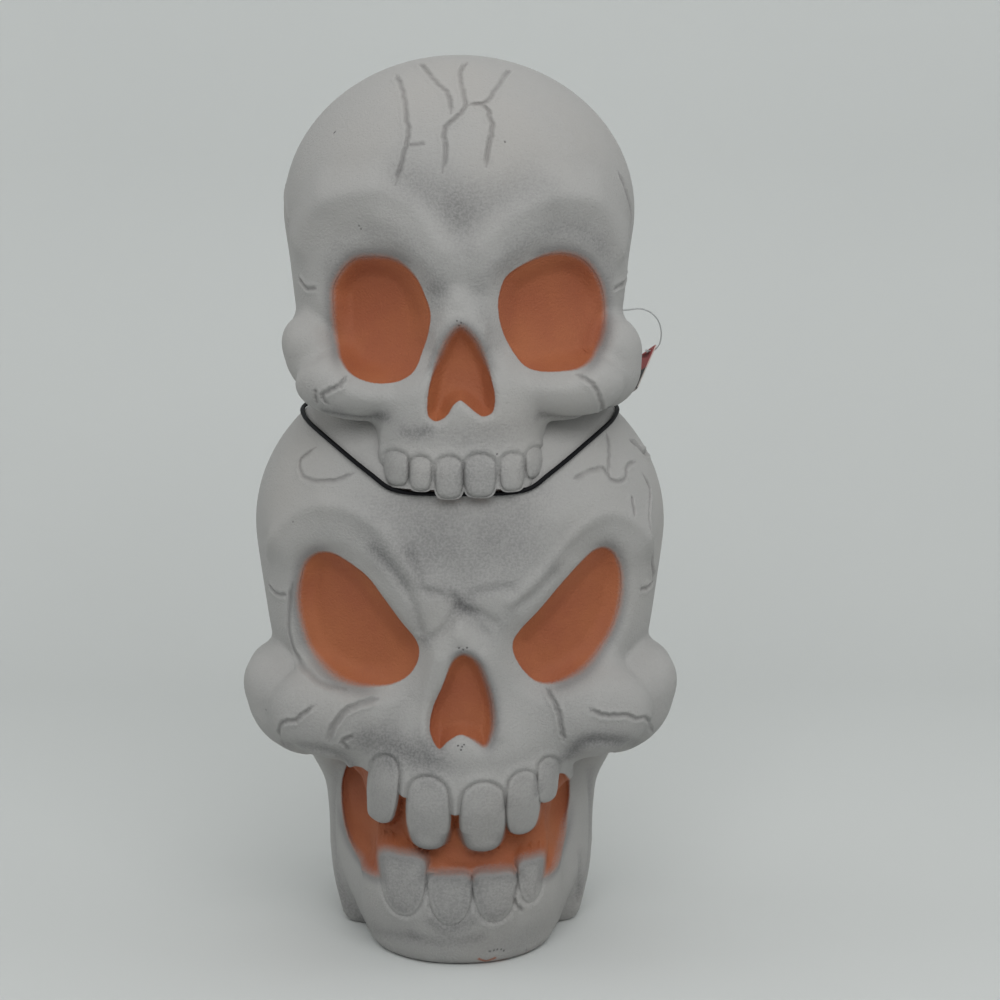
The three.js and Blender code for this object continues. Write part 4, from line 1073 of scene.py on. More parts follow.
def shaded(made: Piece, angle: float = 40.0) -> Piece:
    """Shades a mesh smooth, with edges sharper than an angle kept sharp.

    Args:
        made: the mesh object.
        angle: the angle, in degrees.

    Returns:
        The same object.
    """
    made.data.polygons.foreach_set("use_smooth", [True] * len(made.data.polygons))
    made.data.set_sharp_from_angle(angle=math.radians(angle))
    return made


def shift(x: float, y: float, z: float) -> Matrix:
    """Placement that is only moved, in millimetres."""
    return Matrix.Translation((x * MM, y * MM, z * MM))


def placing(origin: Point3, axis: Point3, side: Point3 = (1, 0, 0)) -> Matrix:
    """Placement, in millimetres, whose own z follows an axis and whose own x leans to a side.

    Args:
        origin: where it is.
        axis: where its z goes.
        side: where its x leans to.

    Returns:
        The placement.
    """
    up = Vector(axis).normalized()
    across = Vector(side)
    across = (across - across.dot(up) * up).normalized()
    rows = Matrix((across, up.cross(across), up)).transposed()
    return shift(*origin) @ rows.to_4x4()


def on_lamp_axis(y: float = 0.0) -> Matrix:
    """Placement on the lamp's axis, which runs straight out of the back."""
    return placing((0, y, LAMP_HEIGHT), (0, 1, 0))


def placed(points: Sequence[Point3], place: Matrix) -> Array:
    """Points moved by a placement."""
    grid = np.array(place)
    return np.asarray(points) @ grid[:3, :3].T + grid[:3, 3]


def turned(name: str, profile: Sequence[Point2], place: Matrix, sides: int = 48) -> Piece:
    """Solid of revolution with closed poles.

    Args:
        name: the object's name.
        profile: distance from the axis and height on it, in millimetres, from the bottom pole to the top one.
        place: where its axis stands.
        sides: how many sides it has.

    Returns:
        The solid.
    """
    angles = np.linspace(0, 2 * math.pi, sides, endpoint=False)
    points, rings = [], []
    for radius, height in profile:
        start = len(points)
        if radius < TINY:
            points.append((0, 0, height * MM))
            rings.append([start] * sides)
        else:
            points += [(radius * MM * math.cos(a), radius * MM * math.sin(a), height * MM) for a in angles]
            rings.append(list(range(start, start + sides)))
    faces = []
    for low, high in zip(rings, rings[1:]):
        for i in range(sides):
            j = (i + 1) % sides
            corners = [low[i], low[j], high[j], high[i]]
            kept = [c for k, c in enumerate(corners) if c != corners[k - 1]]
            if len(kept) > 2:
                faces.append(kept)
    return shaded(mesh_object(name, placed(points, place), faces))


def rod(radius: float, low: float, high: float, place: Matrix, sides: int) -> Piece:
    """Plain round rod between two heights on its axis, in millimetres."""
    return turned("rod", ((0, low), (radius, low), (radius, high), (0, high)), place, sides)


def drilled(made: Piece, radius: float, low: float, high: float, place: Matrix, sides: int = 24) -> Piece:
    """Cuts a round hole between two heights on its axis, in millimetres."""
    return combined(made, rod(radius, low, high, place, sides), "DIFFERENCE")


def loft(name: str, rings: Array, angle: float) -> Piece:
    """Solid skinned over rings of points, with a flat face at each end.

    Args:
        name: the object's name.
        rings: the rings, their points and their three numbers.
        angle: edges sharper than this stay sharp.

    Returns:
        The solid.
    """
    count, sides = rings.shape[:2]
    faces = [
        (k * sides + i, k * sides + (i + 1) % sides, (k + 1) * sides + (i + 1) % sides, (k + 1) * sides + i)
        for k in range(count - 1) for i in range(sides)
    ]
    faces += [tuple(range(sides))[::-1], tuple(range((count - 1) * sides, count * sides))]
    return shaded(mesh_object(name, rings.reshape(-1, 3), faces), angle)


def tube(name: str, line: Array, radius: float, sides: int = 14) -> Piece:
    """Round tube along a line, closed at both ends.

    Args:
        name: the object's name.
        line: the points of its middle line, in metres.
        radius: its radius, in metres.
        sides: how many sides it has.

    Returns:
        The tube.
    """
    along = unit(np.gradient(line, axis=0))
    first = np.cross(along[0], (0.3, 0.2, 1.0))
    across = [first / np.linalg.norm(first)]
    for direction in along[1:]:
        carried = across[-1] - (across[-1] @ direction) * direction
        across.append(carried / np.linalg.norm(carried))
    across = np.array(across)
    upward = np.cross(along, across)
    angles = np.linspace(0, 2 * math.pi, sides, endpoint=False)
    ring = np.cos(angles)[None, :, None] * across[:, None] + np.sin(angles)[None, :, None] * upward[:, None]
    return loft(name, line[:, None] + radius * ring, 60)


def softened(made: Piece, bevel: float, segments: int, angle: float) -> Piece:
    """Rounds the edges that are sharper than an angle, by a bevel in millimetres.

    Args:
        made: the mesh object.
        bevel: the width of the rounding.
        segments: how many faces make it.
        angle: the angle, in degrees.

    Returns:
        The same object.
    """
    modifier = made.modifiers.new("bevel", "BEVEL")
    modifier.width = bevel * MM
    modifier.segments = segments
    modifier.angle_limit = math.radians(angle)
    return frozen(made)


def block(name: str, size: Point3, place: Matrix, bevel: float, segments: int = 4) -> Piece:
    """Block with rounded edges, its size and bevel in millimetres, its middle at the placement.

    Args:
        name: the object's name.
        size: its three sizes.
        place: where its middle is.
        bevel: the width of its rounded edges.
        segments: how many faces make a rounded edge.

    Returns:
        The block.
    """
    half = np.array(size) * MM / 2
    corners = [half * (x, y, z) for x in (-1, 1) for y in (-1, 1) for z in (-1, 1)]
    faces = [(0, 1, 3, 2), (4, 6, 7, 5), (0, 4, 5, 1), (2, 3, 7, 6), (0, 2, 6, 4), (1, 5, 7, 3)]
    return shaded(softened(mesh_object(name, placed(corners, place), faces), bevel, segments, 30))


def prism(name: str, outline: Sequence[Point2], low: float, high: float, place: Matrix) -> Piece:
    """Upright solid over an outline, between two heights, all in millimetres."""
    rings = np.array([[(x, y, z) for x, y in outline] for z in (low, high)]) * MM
    return loft(name, placed(rings, place), 30)


def rounded_outline(half: Point2, corner: float, steps: int = 6) -> list[Point2]:
    """Outline of a rectangle with round corners, anticlockwise, in millimetres.

    Args:
        half: half its width and half its height.
        corner: the radius of its corners.
        steps: how many lines make a corner.

    Returns:
        The outline's points.
    """
    found = []
    for quarter, (across, up) in enumerate(((1, 1), (-1, 1), (-1, -1), (1, -1))):
        x, y = across * (half[0] - corner), up * (half[1] - corner)
        angles = [math.pi / 2 * (quarter + i / steps) for i in range(steps + 1)]
        found += [(x + corner * math.cos(a), y + corner * math.sin(a)) for a in angles]
    return found


# Finishes

class Signal:
    """A number, colour or shape that flows through a node tree, worked with as an ordinary number."""

    def __init__(self, tree: "NodeTree", socket: bpy.types.NodeSocket) -> None:
        """Keeps the tree and the node socket that the signal comes out of."""
        self.tree = tree
        self.socket = socket

    def maths(self, operation: str, *others: "Signal | float") -> "Signal":
        """The result of a maths node on this signal and others."""
        return self.tree.add("ShaderNodeMath", dict(enumerate((self, *others))), operation=operation)

    def __add__(self, other: "Signal | float") -> "Signal":
        """Sum."""
        return self.maths("ADD", other)

    __radd__ = __add__

    def __sub__(self, other: "Signal | float") -> "Signal":
        """Difference."""
        return self.maths("SUBTRACT", other)

    def __rsub__(self, other: float) -> "Signal":
        """Difference from a plain number."""
        return self.tree.add("ShaderNodeMath", {0: other, 1: self}, operation="SUBTRACT")

    def __mul__(self, other: "Signal | float") -> "Signal":
        """Product."""
        return self.maths("MULTIPLY", other)

    __rmul__ = __mul__

    def __truediv__(self, other: "Signal | float") -> "Signal":
        """Quotient."""
        return self.maths("DIVIDE", other)

    def step(self, low: float, high: float) -> "Signal":
        """Eased step from 0 at one value to 1 at another."""
        values = {"Value": self, "From Min": low, "From Max": high}
        return self.tree.add("ShaderNodeMapRange", values, interpolation_type="SMOOTHSTEP")

    def bell(self, width: float) -> "Signal":
        """Bell curve of height 1 at zero."""
        share = self / width
        return (share * share * -1).maths("EXPONENT")


Value = Signal | float | tuple | Material


class NodeTree:
    """A node tree that is written as expressions."""

    def __init__(self, tree: bpy.types.NodeTree) -> None:
        """Keeps the tree that the nodes go into."""
        self.tree = tree

    def feed(self, socket: bpy.types.NodeSocket, value: Value) -> None:
        """Links a signal to a socket, or sets a plain value on it.

        Args:
            socket: the socket.
            value: the signal or the plain value.
        """
        if isinstance(value, Signal):
            self.tree.links.new(value.socket, socket)
        elif isinstance(value, tuple) and socket.type == "RGBA":
            socket.default_value = (*value, 1.0)
        else:
            socket.default_value = value

    def add(
        self, kind: str, inputs: dict[int | str, Value], output: int | str = 0, **settings: str,
    ) -> Signal:
        """Adds a node.

        Args:
            kind: the node's type.
            inputs: its sockets and what they get.
            output: the socket whose signal is wanted.
            **settings: its other settings, which are set first.

        Returns:
            The signal of that socket.
        """
        node = self.tree.nodes.new(kind)
        for key, value in settings.items():
            setattr(node, key, value)
        for key, value in inputs.items():
            self.feed(node.inputs[key], value)
        return Signal(self, node.outputs[output])


class Recipe(NodeTree):
    """The node tree of one material, with its surface shader."""

    def __init__(self, name: str) -> None:
        """Starts a material of a given name."""
        self.material = bpy.data.materials.new(name)
        self.material.use_nodes = True
        super().__init__(self.material.node_tree)
        self.shader = self.tree.nodes["Principled BSDF"]
        self.coordinates = self.add("ShaderNodeTexCoord", {}, "Object")

    def attribute(self, name: str) -> Signal:
        """A number kept on the mesh."""
        return self.add("ShaderNodeAttribute", {}, "Fac", attribute_name=name)

    def stretched(self, scale: Point3) -> Signal:
        """Object coordinates, stretched."""
        return self.add("ShaderNodeMapping", {"Vector": self.coordinates, "Scale": scale})

    def noise(
        self, scale: float, detail: float = 3.0, roughness: float = 0.5, at: Signal | None = None,
    ) -> Signal:
        """Cloudy noise from 0 to 1, of a scale in waves per metre."""
        values = {"Vector": at or self.coordinates, "Scale": scale, "Detail": detail, "Roughness": roughness}
        return self.add("ShaderNodeTexNoise", values)

    def cells(self, scale: float) -> Signal:
        """Distance in a pattern of cells."""
        return self.add("ShaderNodeTexVoronoi", {"Vector": self.coordinates, "Scale": scale}, "Distance")

    def mix(self, share: Value, first: Value, second: Value) -> Signal:
        """Colour between two others."""
        return self.add("ShaderNodeMix", {0: share, 6: first, 7: second}, 2, data_type="RGBA")

    def surface(self, height: Signal | None = None, **values: Value) -> Material:
        """Sets the shader's sockets and its bump.

        Args:
            height: bump heights in millimetres.
            **values: the shader's sockets, with _ for each space.

        Returns:
            The finished material.
        """
        for key, value in values.items():
            self.feed(self.shader.inputs[key.replace("_", " ")], value)
        if height is not None:
            bump = self.add("ShaderNodeBump", {"Height": height, "Distance": MM, "Strength": 1.0}, "Normal")
            self.feed(self.shader.inputs["Normal"], bump)
        return self.material


@dataclass(frozen=True)
class FoamPaint:
    """Moulded orange foam under sprayed off-white paint and grey airbrush shading, the grey partly real
    airbrushing and partly painted shade and shadow.
    """

    paint: Colour = (0.358, 0.352, 0.344)
    shade: Colour = (0.130, 0.129, 0.131)
    foam: Colour = (0.350, 0.112, 0.044)
    dark_foam: Colour = (0.300, 0.086, 0.038)

    def material(self) -> Material:
        """Builds the material from the numbers that the skulls keep on their corners."""
        recipe = Recipe("painted_foam")
        rim = recipe.attribute("rim_distance")
        softness = recipe.attribute("rim_softness")
        grey = recipe.attribute("grey_spray_and_shade")
        crack = recipe.attribute("crack_distance")
        bare = recipe.attribute("bare_foam")
        fine = recipe.noise(1500, 2)
        pebbles = recipe.noise(640, 2)
        grain = pebbles.step(0.34, 0.66)
        cloud = recipe.noise(28, 3)
        patches = recipe.noise(9, 2)
        brush = recipe.noise(1.0, 3, 0.6, recipe.stretched((260, 700, 900)))
        ragged = rim + (fine - 0.5) * softness * 1.6 + (pebbles - 0.5) * 0.0005
        painted = (ragged / softness).step(-1.0, 1.0) * (1 - bare)
        sprayed = softness.step(0.0008, 0.002)
        halo = (rim - 0.0020).bell(0.0038) * sprayed * 0.55 * (0.5 + fine * 0.9)
        # Grey of the airbrushing, mixed with painted shade in grooves and crevices and the painted shadow of
        # the upper skull
        spray_and_shade = grey * (0.62 + cloud * 0.5 + grain * 0.25)
        spray_and_shade = spray_and_shade + (cloud - 0.5) * 0.30 + (brush - 0.5) * 0.20 + grain * 0.09
        coat = recipe.mix(spray_and_shade.step(0.0, 1.35), self.paint, self.shade)
        coat = recipe.mix(halo, coat, self.shade)
        # Painted shade: the paint darkened along the cracks' grooves
        coat = recipe.mix(crack.bell(0.0013) * 0.40, coat, (0.115, 0.110, 0.110))
        coat = recipe.mix((patches - 0.45).step(0.0, 0.3) * 0.12, coat, (0.44, 0.39, 0.34))
        foam = recipe.mix(recipe.noise(22, 3).step(0.3, 0.75), self.foam, self.dark_foam)
        foam = recipe.mix((fine * 0.6 + brush * 0.4).step(0.42, 0.75) * 0.25, foam, self.dark_foam)
        height = fine * 0.16 + pebbles * 0.50 + brush * 0.16 + painted * 0.06
        colour = recipe.mix(painted, foam, coat)
        rough = 0.62 + fine * 0.12
        return recipe.surface(height, Base_Color=colour, Roughness=rough, Specular_IOR_Level=0.35)


# The two skulls

@dataclass
class SkullShell:
    """One hollow moulded skull, from its smooth form to its carved and painted shell."""

    name: str
    node: str
    form: SkullForm
    face: Face
    lean: Point3
    frequency: int = 66
    inner_frequency: int = 26
    draw: float = 0.45
    refining: tuple[float, ...] = (2.2, 1.2)
    wall: float = 0.0055
    pocket_wall: float = 0.006
    foot_edge: float = 0.007
    longest_ray: float = 0.4
    halvings: int = 22
    slope_step: float = 0.0008
    crown_frequency: int = 48
    cut_distance: float = 0.0025
    cut_depth: float = 0.0008

    def footed(self, points: Array) -> Array:
        """Distance from the form, as far as this skull uses it."""
        return self.form.distance(points)

    def cast(self, directions: Array, level: float) -> Array:
        """Points where rays from the middle leave the footed form at one level of its distance.

        Args:
            directions: the rays' directions.
            level: the level.

        Returns:
            The points.
        """
        near, far = np.zeros(len(directions)), np.full(len(directions), self.longest_ray)
        for _ in range(self.halvings):
            middle = (near + far) / 2
            inside = self.footed(self.form.centre + middle[:, None] * directions) < level
            near, far = np.where(inside, middle, near), np.where(inside, far, middle)
        return self.form.centre + near[:, None] * directions

    def normals(self, points: Array) -> Array:
        """Directions straight out of the smooth form.

        Args:
            points: points on the form.

        Returns:
            A direction for each point.
        """
        steps = self.slope_step * np.eye(3)
        rises = [self.footed(points + step) - self.footed(points - step) for step in steps]
        return unit(np.stack(rises, axis=1))

    @cached_property
    def evened(self) -> list[Array]:
        """The curves that even out the floors of the sunk openings, fitted on the smooth outside."""
        return self.face.evened(self.cast(geodesic_ball(self.inner_frequency, self.lean, self.draw)[0], 0.0))

    def carved(self, face: Face, directions: Array, level: float, grown: float) -> tuple[Array, Relief]:
        """The form's surface with a face carved in.

        Args:
            face: the face.
            directions: where each corner lies from the middle.
            level: how far off the smooth surface the corners start.
            grown: how much the openings are grown.

        Returns:
            The corners, and the relief that moved them.
        """
        surface = self.cast(directions, level)
        relief = face.carve(self.footed, surface, self.evened, grown, -level)
        outward = self.normals(surface)
        facing = np.maximum(smooth(0.25, 0.65, -outward[:, 1]), relief.straight)[:, None]
        push = unit(facing * np.array([0.0, -1.0, 0.0]) + (1 - facing) * outward)
        return surface + relief.height[:, None] * push, relief

    def outside(self) -> tuple[Piece, Array, Relief]:
        """The carved outside as a closed solid, with its corners and its relief."""
        directions, triangles = geodesic_ball(self.frequency, self.lean, self.draw)
        points, relief = self.carved(self.face, directions, 0.0, 0.0)
        for reach in self.refining:
            marked = (relief.detail[triangles] < reach * MM).any(axis=1)
            directions, triangles = refined(directions, triangles, marked)
            points, relief = self.carved(self.face, directions, 0.0, 0.0)
        log.info("%s: %d triangles before its cuts", self.name, len(triangles))
        return triangle_object(self.name, points, triangles), points, relief

    def inside(self) -> Piece:
        """The air space inside the shell as a closed solid."""
        directions, triangles = geodesic_ball(self.inner_frequency, self.lean, self.draw)
        openings = replace(self.face, teeth=(), strokes=(), cracks=(), specks=())
        points, _ = self.carved(openings, directions, -self.wall, self.pocket_wall)
        return triangle_object(self.name + "_air", points, triangles)

    def painted(self, shell: Piece, points: Array, relief: Relief) -> None:
        """Writes the paint's numbers on the shell's corners, taken from the nearest carved corners.

        Args:
            shell: the finished shell.
            points: the carved corners.
            relief: what was carved at them.
        """
        tree = KDTree(len(points))
        for index, point in enumerate(points):
            tree.insert(point, index)
        tree.balance()
        corners = points_of(shell)
        found = [tree.find(corner) for corner in corners]
        nearest = np.array([index for _, index, _ in found])
        # Corners cut after the carving, and deeper than the paint, are bare foam
        away = np.array([distance > self.cut_distance for _, _, distance in found])
        bare = (away & (self.footed(corners) < -self.cut_depth)).astype(float)
        kept_on(shell, {
            "rim_distance": np.clip(relief.rim[nearest], -0.05, 0.05),
            "rim_softness": relief.softness[nearest],
            "grey_spray_and_shade": relief.grey[nearest],
            "crack_distance": np.clip(relief.crack[nearest], 0, 0.05),
            "bare_foam": bare,
        })

    def crown(self, gap: float) -> Piece:
        """The smooth outside grown by a gap, which another shell is cut to fit."""
        directions, triangles = geodesic_ball(self.crown_frequency, (0, 0, 1), 0.3)
        return triangle_object(self.name + "_crown", self.cast(directions, gap), triangles)


@dataclass
class LowerSkull(SkullShell):
    """The larger skull, which stands on the flat foot of its jaw and carries the other one."""

    collar_radius: float = 44
    collar_bore: float = 40
    collar_top: float = 417
    pad_radius: float = 21
    pad_face: float = 118
    boss_radius: float = 27
    boss_face: float = 113
    lamp_hole: float = 14
    chin_middle: float = -20
    chin_half: Point2 = (70, 80)

    def footed(self, points: Array) -> Array:
        """Distance from the form with its chin rounded in plan and the floor's flat foot cut into it.

        Args:
            points: the points, in metres.

        Returns:
            The distances.
        """
        x, y, z = points.T
        half_wide, half_deep = np.array(self.chin_half) * MM
        behind = y - self.chin_middle * MM
        across = x / (half_wide + 3 * np.maximum(behind, 0))
        higher = 0.4 * smooth(50 * MM, 110 * MM, z)
        chin = (np.hypot(across, np.minimum(behind, 0) / half_deep) - 1) * half_wide
        chin -= 22 * MM * smooth(0.0, 62 * MM, z) + higher
        side = np.abs(x) - 98 * MM + 12 * MM * smooth(60 * MM, 0.0, z)
        form = melt(melt(-self.form.distance(points), -chin, 10 * MM), higher - side, 6 * MM)
        return -melt(form, z, self.foot_edge)

    def build(self) -> Piece:
        """Builds the shell with its collar, its lamp boss and its hole."""
        shell, points, relief = self.outside()
        upright, back = shift(0, 0, 0), on_lamp_axis()
        radius, top = self.collar_radius, self.collar_top
        profile = ((0, 370), (radius, 370), (radius, top - 1), (radius - 1, top), (0, top))
        combined(shell, turned("collar", profile, upright, 96), "UNION")
        air = drilled(self.inside(), self.boss_radius, self.boss_face, 160, back, 64)
        combined(shell, air, "DIFFERENCE")
        drilled(shell, self.collar_bore, 350, 430, upright, 96)
        drilled(shell, self.pad_radius, self.pad_face, 160, back, 64)
        drilled(shell, self.lamp_hole, 80, 160, back, 64)
        self.painted(shell, points, relief)
        return shaded(shell, 55)


@dataclass
class UpperSkull(SkullShell):
    """The smaller skull, seated on the crown of the larger one and cut to its curve."""

    seat_gap: float = 0.0008
    floor_wall: float = 5.0
    gum_height: float = 326
    neck_radius: float = 44.3

    def gum_outline(self) -> list[Point2]:
        """Front outline of what is cut away below the gum, round the teeth's tips."""
        edge = [(-0.16, self.gum_height * MM)]
        for tooth in sorted(self.face.teeth, key=lambda t: t.middle[0]):
            contour = tooth.contour()
            contour = contour + 0.0012 * np.sign(contour - contour.mean(axis=0))
            below = contour[contour[:, 1] < self.gum_height * MM]
            if len(below) > 2:
                below = below[np.argsort(below[:, 0])]
                edge += [(p[0], p[1]) for p in below if p[0] > edge[-1][0] + 0.0002]
        edge.append((0.16, self.gum_height * MM))
        return edge + [(0.16, 0.2), (-0.16, 0.2)]

    def build(self, crown: Piece, seat: Piece) -> Piece:
        """Builds the shell over the other skull's crown.

        Args:
            crown: the other skull's outside, grown by the seat's gap.
            seat: the same, grown by the wall as well.

        Returns:
            The shell.
        """
        shell, points, relief = self.outside()
        outline = [(-x / MM, z / MM) for x, z in self.gum_outline()]
        below = prism("below_gum", outline, 0, 400, placing((0, -200, 0), (0, 1, 0), (-1, 0, 0)))
        combined(shell, below, "DIFFERENCE")
        combined(shell, crown, "DIFFERENCE")
        air = combined(self.inside(), seat, "DIFFERENCE")
        floor = shift(0, 0, self.gum_height + self.floor_wall - 200)
        combined(air, block("floor", (400, 400, 400), floor, 1), "DIFFERENCE")
        combined(shell, air, "DIFFERENCE")
        drilled(shell, self.neck_radius, 380, 428, shift(0, 0, 0), 96)
        self.painted(shell, points, relief)
        return shaded(shell, 55)


# The rest of the pieces

@dataclass(frozen=True)
class Moulding:
    """Black moulded plastic or vinyl with a fine satin grain."""

    name: str
    colour: Colour = (0.013, 0.013, 0.015)
    dust: Colour = (0.045, 0.043, 0.041)
    roughness: float = 0.42
    shine: float = 0.5
    grain: float = 1800.0
    grain_depth: float = 0.02

    def material(self) -> Material:
        """Builds the material."""
        recipe = Recipe(self.name)
        grain = recipe.noise(self.grain, 3)
        colour = recipe.mix(recipe.noise(60, 4).step(0.5, 0.85) * 0.35, self.colour, self.dust)
        height = grain * self.grain_depth + recipe.cells(self.grain * 0.8) * self.grain_depth
        rough = self.roughness + grain * 0.14
        return recipe.surface(height, Base_Color=colour, Roughness=rough, Specular_IOR_Level=self.shine)


@dataclass(frozen=True)
class Metal:
    """Plated or pressed metal with fine marks of its making."""

    name: str
    colour: Colour
    tarnish: Colour
    roughness: float = 0.28

    def material(self) -> Material:
        """Builds the material."""
        recipe = Recipe(self.name)
        marks = recipe.noise(1.0, 4, 0.6, recipe.stretched((2600, 500, 2600)))
        stains = recipe.noise(150, 4)
        colour = recipe.mix(stains.step(0.45, 0.8) * 0.6, self.colour, self.tarnish)
        rough = self.roughness + marks * 0.16 + stains * 0.08
        return recipe.surface(marks * 0.012, Base_Color=colour, Metallic=1.0, Roughness=rough)


@dataclass(frozen=True)
class Clear:
    """Clear glass, or the hazy nylon of a tag's thread."""

    name: str
    colour: Colour = (0.96, 0.98, 0.97)
    roughness: float = 0.03
    clearness: float = 1.0
    haze: float = 0.05

    def material(self) -> Material:
        """Builds the material."""
        recipe = Recipe(self.name)
        haze = recipe.noise(300, 3)
        return recipe.surface(
            haze * 0.01, Base_Color=self.colour, Roughness=self.roughness + haze * self.haze, IOR=1.5,
            Transmission_Weight=self.clearness,
        )


@dataclass(frozen=True)
class TagCard:
    """Coated red card with a plain black foot, worn pale along its cut edges."""

    red: Colour = (0.350, 0.035, 0.035)
    foot: Colour = (0.007, 0.007, 0.008)

    def material(self) -> Material:
        """Builds the material from how far down and how far in from the edge each corner lies."""
        recipe = Recipe("tag_card")
        down = recipe.attribute("card_down")
        edge = recipe.attribute("card_edge")
        fibre = recipe.noise(1600, 3)
        mottle = recipe.noise(140, 3)
        face = recipe.mix(mottle * 0.25, self.red, (0.26, 0.028, 0.03))
        face = recipe.mix((down + (fibre - 0.5) * 0.0002).step(0.0216, 0.0219), face, self.foot)
        worn = (edge + (fibre - 0.5) * 0.0005).step(0.00045, 0.00015)
        colour = recipe.mix(worn * 0.7, face, (0.5, 0.46, 0.42))
        height = fibre * 0.012 + mottle * 0.01
        return recipe.surface(height, Base_Color=colour, Roughness=0.48 + fibre * 0.12)


@dataclass(frozen=True)
class Finishes:
    """Every finish of the decoration, each made once."""

    foam: Material
    plastic: Material
    vinyl: Material
    brass: Material
    steel: Material
    glass: Material
    nylon: Material
    card: Material

    @classmethod
    def made(cls) -> "Finishes":
        """Makes the finishes."""
        vinyl = Moulding("lead_vinyl", (0.0035, 0.0035, 0.005), (0.007, 0.007, 0.007), 0.5, 0.12, 900, 0.012)
        return cls(
            foam=FoamPaint().material(),
            plastic=Moulding("black_plastic").material(),
            vinyl=vinyl.material(),
            brass=Metal("brass", (0.78, 0.55, 0.24), (0.42, 0.27, 0.12)).material(),
            steel=Metal("zinc_steel", (0.60, 0.60, 0.62), (0.38, 0.38, 0.40), 0.32).material(),
            glass=Clear("bulb_glass").material(),
            nylon=Clear("nylon", (0.55, 0.56, 0.56), 0.25, 0.55, 0.2).material(),
            card=TagCard().material(),
        )


def finished(
    made: Piece, material: Material, body: str = "skulls", nodes: Sequence[str] = (),
) -> Piece:
    """Gives a piece its finish and its body, and reports it.

    Args:
        made: the piece.
        material: its finish.
        body: the body that it moves with.
        nodes: the CAD nodes that it stands for.

    Returns:
        The piece.
    """
    made.data.materials.clear()
    made.data.materials.append(material)
    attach(made, body)
    if nodes:
        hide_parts(*nodes)
    log.info("%s", made.name)
    return made


def dressed(name: str, material: Material) -> None:
    """Gives a CAD node that is kept as it is its finish.

    Args:
        name: the node.
        material: its finish.
    """
    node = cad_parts[name]
    node.data.materials.clear()
    node.data.materials.append(material)
    log.info("%s", name)


class PatternTree(NodeTree):
    """A Geometry Nodes tree that repeats something, with named inputs for its sizes."""

    def __init__(self, name: str, sizes: dict[str, float]) -> None:
        """Starts a tree with an input for each size, and one for the material.

        Args:
            name: the tree's name.
            sizes: the inputs' names and values.
        """
        super().__init__(bpy.data.node_groups.new(name, "GeometryNodeTree"))
        self.sizes = sizes
        self.sockets: dict[str, str] = {}
        kinds = {size: "Int" if isinstance(default, int) else "Float" for size, default in sizes.items()}
        for size, kind in {**kinds, "Material": "Material"}.items():
            kind = "NodeSocket" + kind
            socket = self.tree.interface.new_socket(name=size, in_out="INPUT", socket_type=kind)
            self.sockets[size] = socket.identifier
        self.tree.interface.new_socket(name="Geometry", in_out="OUTPUT", socket_type="NodeSocketGeometry")
        self.given = self.tree.nodes.new("NodeGroupInput")

    def size(self, name: str) -> Signal:
        """One named input of the tree."""
        return Signal(self, self.given.outputs[name])

    def section(self) -> Signal:
        """Round section of the tree's thickness."""
        values = {"Resolution": 10, "Radius": self.size("Thickness") / 2.0}
        return self.add("GeometryNodeCurvePrimitiveCircle", values, "Curve")

    def grown(self, name: str, result: Signal, place: Matrix, material: Material) -> Piece:
        """Ends the tree, runs it once and returns its result as a plain mesh.

        Args:
            name: the new object's name.
            result: the geometry to end on.
            place: where the result goes.
            material: its finish.

        Returns:
            The object.
        """
        real = self.add("GeometryNodeRealizeInstances", {0: result})
        dressed = self.add("GeometryNodeSetMaterial", {0: real, "Material": self.size("Material")})
        ending = self.tree.nodes.new("NodeGroupOutput")
        self.feed(ending.inputs[0], dressed)
        made = mesh_object(name, np.zeros((0, 3)), [])
        modifier = made.modifiers.new("pattern", "NODES")
        modifier.node_group = self.tree
        for size, value in {**self.sizes, "Material": material}.items():
            modifier[self.sockets[size]] = value
        bpy.context.view_layer.update()
        frozen(made)
        made.data.transform(place)
        return shaded(made, 45)


def ring_row(
    name: str, count: int, pitch: float, first: float, last: float, thickness: float, place: Matrix,
    material: Material,
) -> Piece:
    """Row of round ribs along an axis, growing or shrinking from the first to the last.

    Args:
        name: the object's name.
        count: how many ribs there are.
        pitch: the distance between them, in millimetres.
        first: the first one's radius.
        last: the last one's radius.
        thickness: the ribs' thickness.
        place: where the first one lies, with its axis along z.
        material: their finish.

    Returns:
        The ribs.
    """
    tree = PatternTree(name + "_pattern", {
        "Count": count, "Pitch": pitch * MM, "First": first * MM, "Last": last * MM,
        "Thickness": thickness * MM,
    })
    ring = tree.add("GeometryNodeCurvePrimitiveCircle", {"Resolution": 40, "Radius": 1.0}, "Curve")
    line = tree.add("GeometryNodeMeshLine", {
        "Count": tree.size("Count"), "Start Location": (0, 0, 0),
        "Offset": tree.add("ShaderNodeCombineXYZ", {"Z": tree.size("Pitch")}),
    })
    share = tree.add("GeometryNodeInputIndex", {}) / (tree.size("Count") - 1.0)
    radius = tree.size("First") + (tree.size("Last") - tree.size("First")) * share
    rings = tree.add("GeometryNodeInstanceOnPoints", {
        "Points": line, "Instance": ring,
        "Scale": tree.add("ShaderNodeCombineXYZ", {0: radius, 1: radius, 2: 1.0}),
    })
    curves = tree.add("GeometryNodeRealizeInstances", {0: rings})
    swept = tree.add("GeometryNodeCurveToMesh", {0: curves, 1: tree.section()})
    return tree.grown(name, swept, place, material)


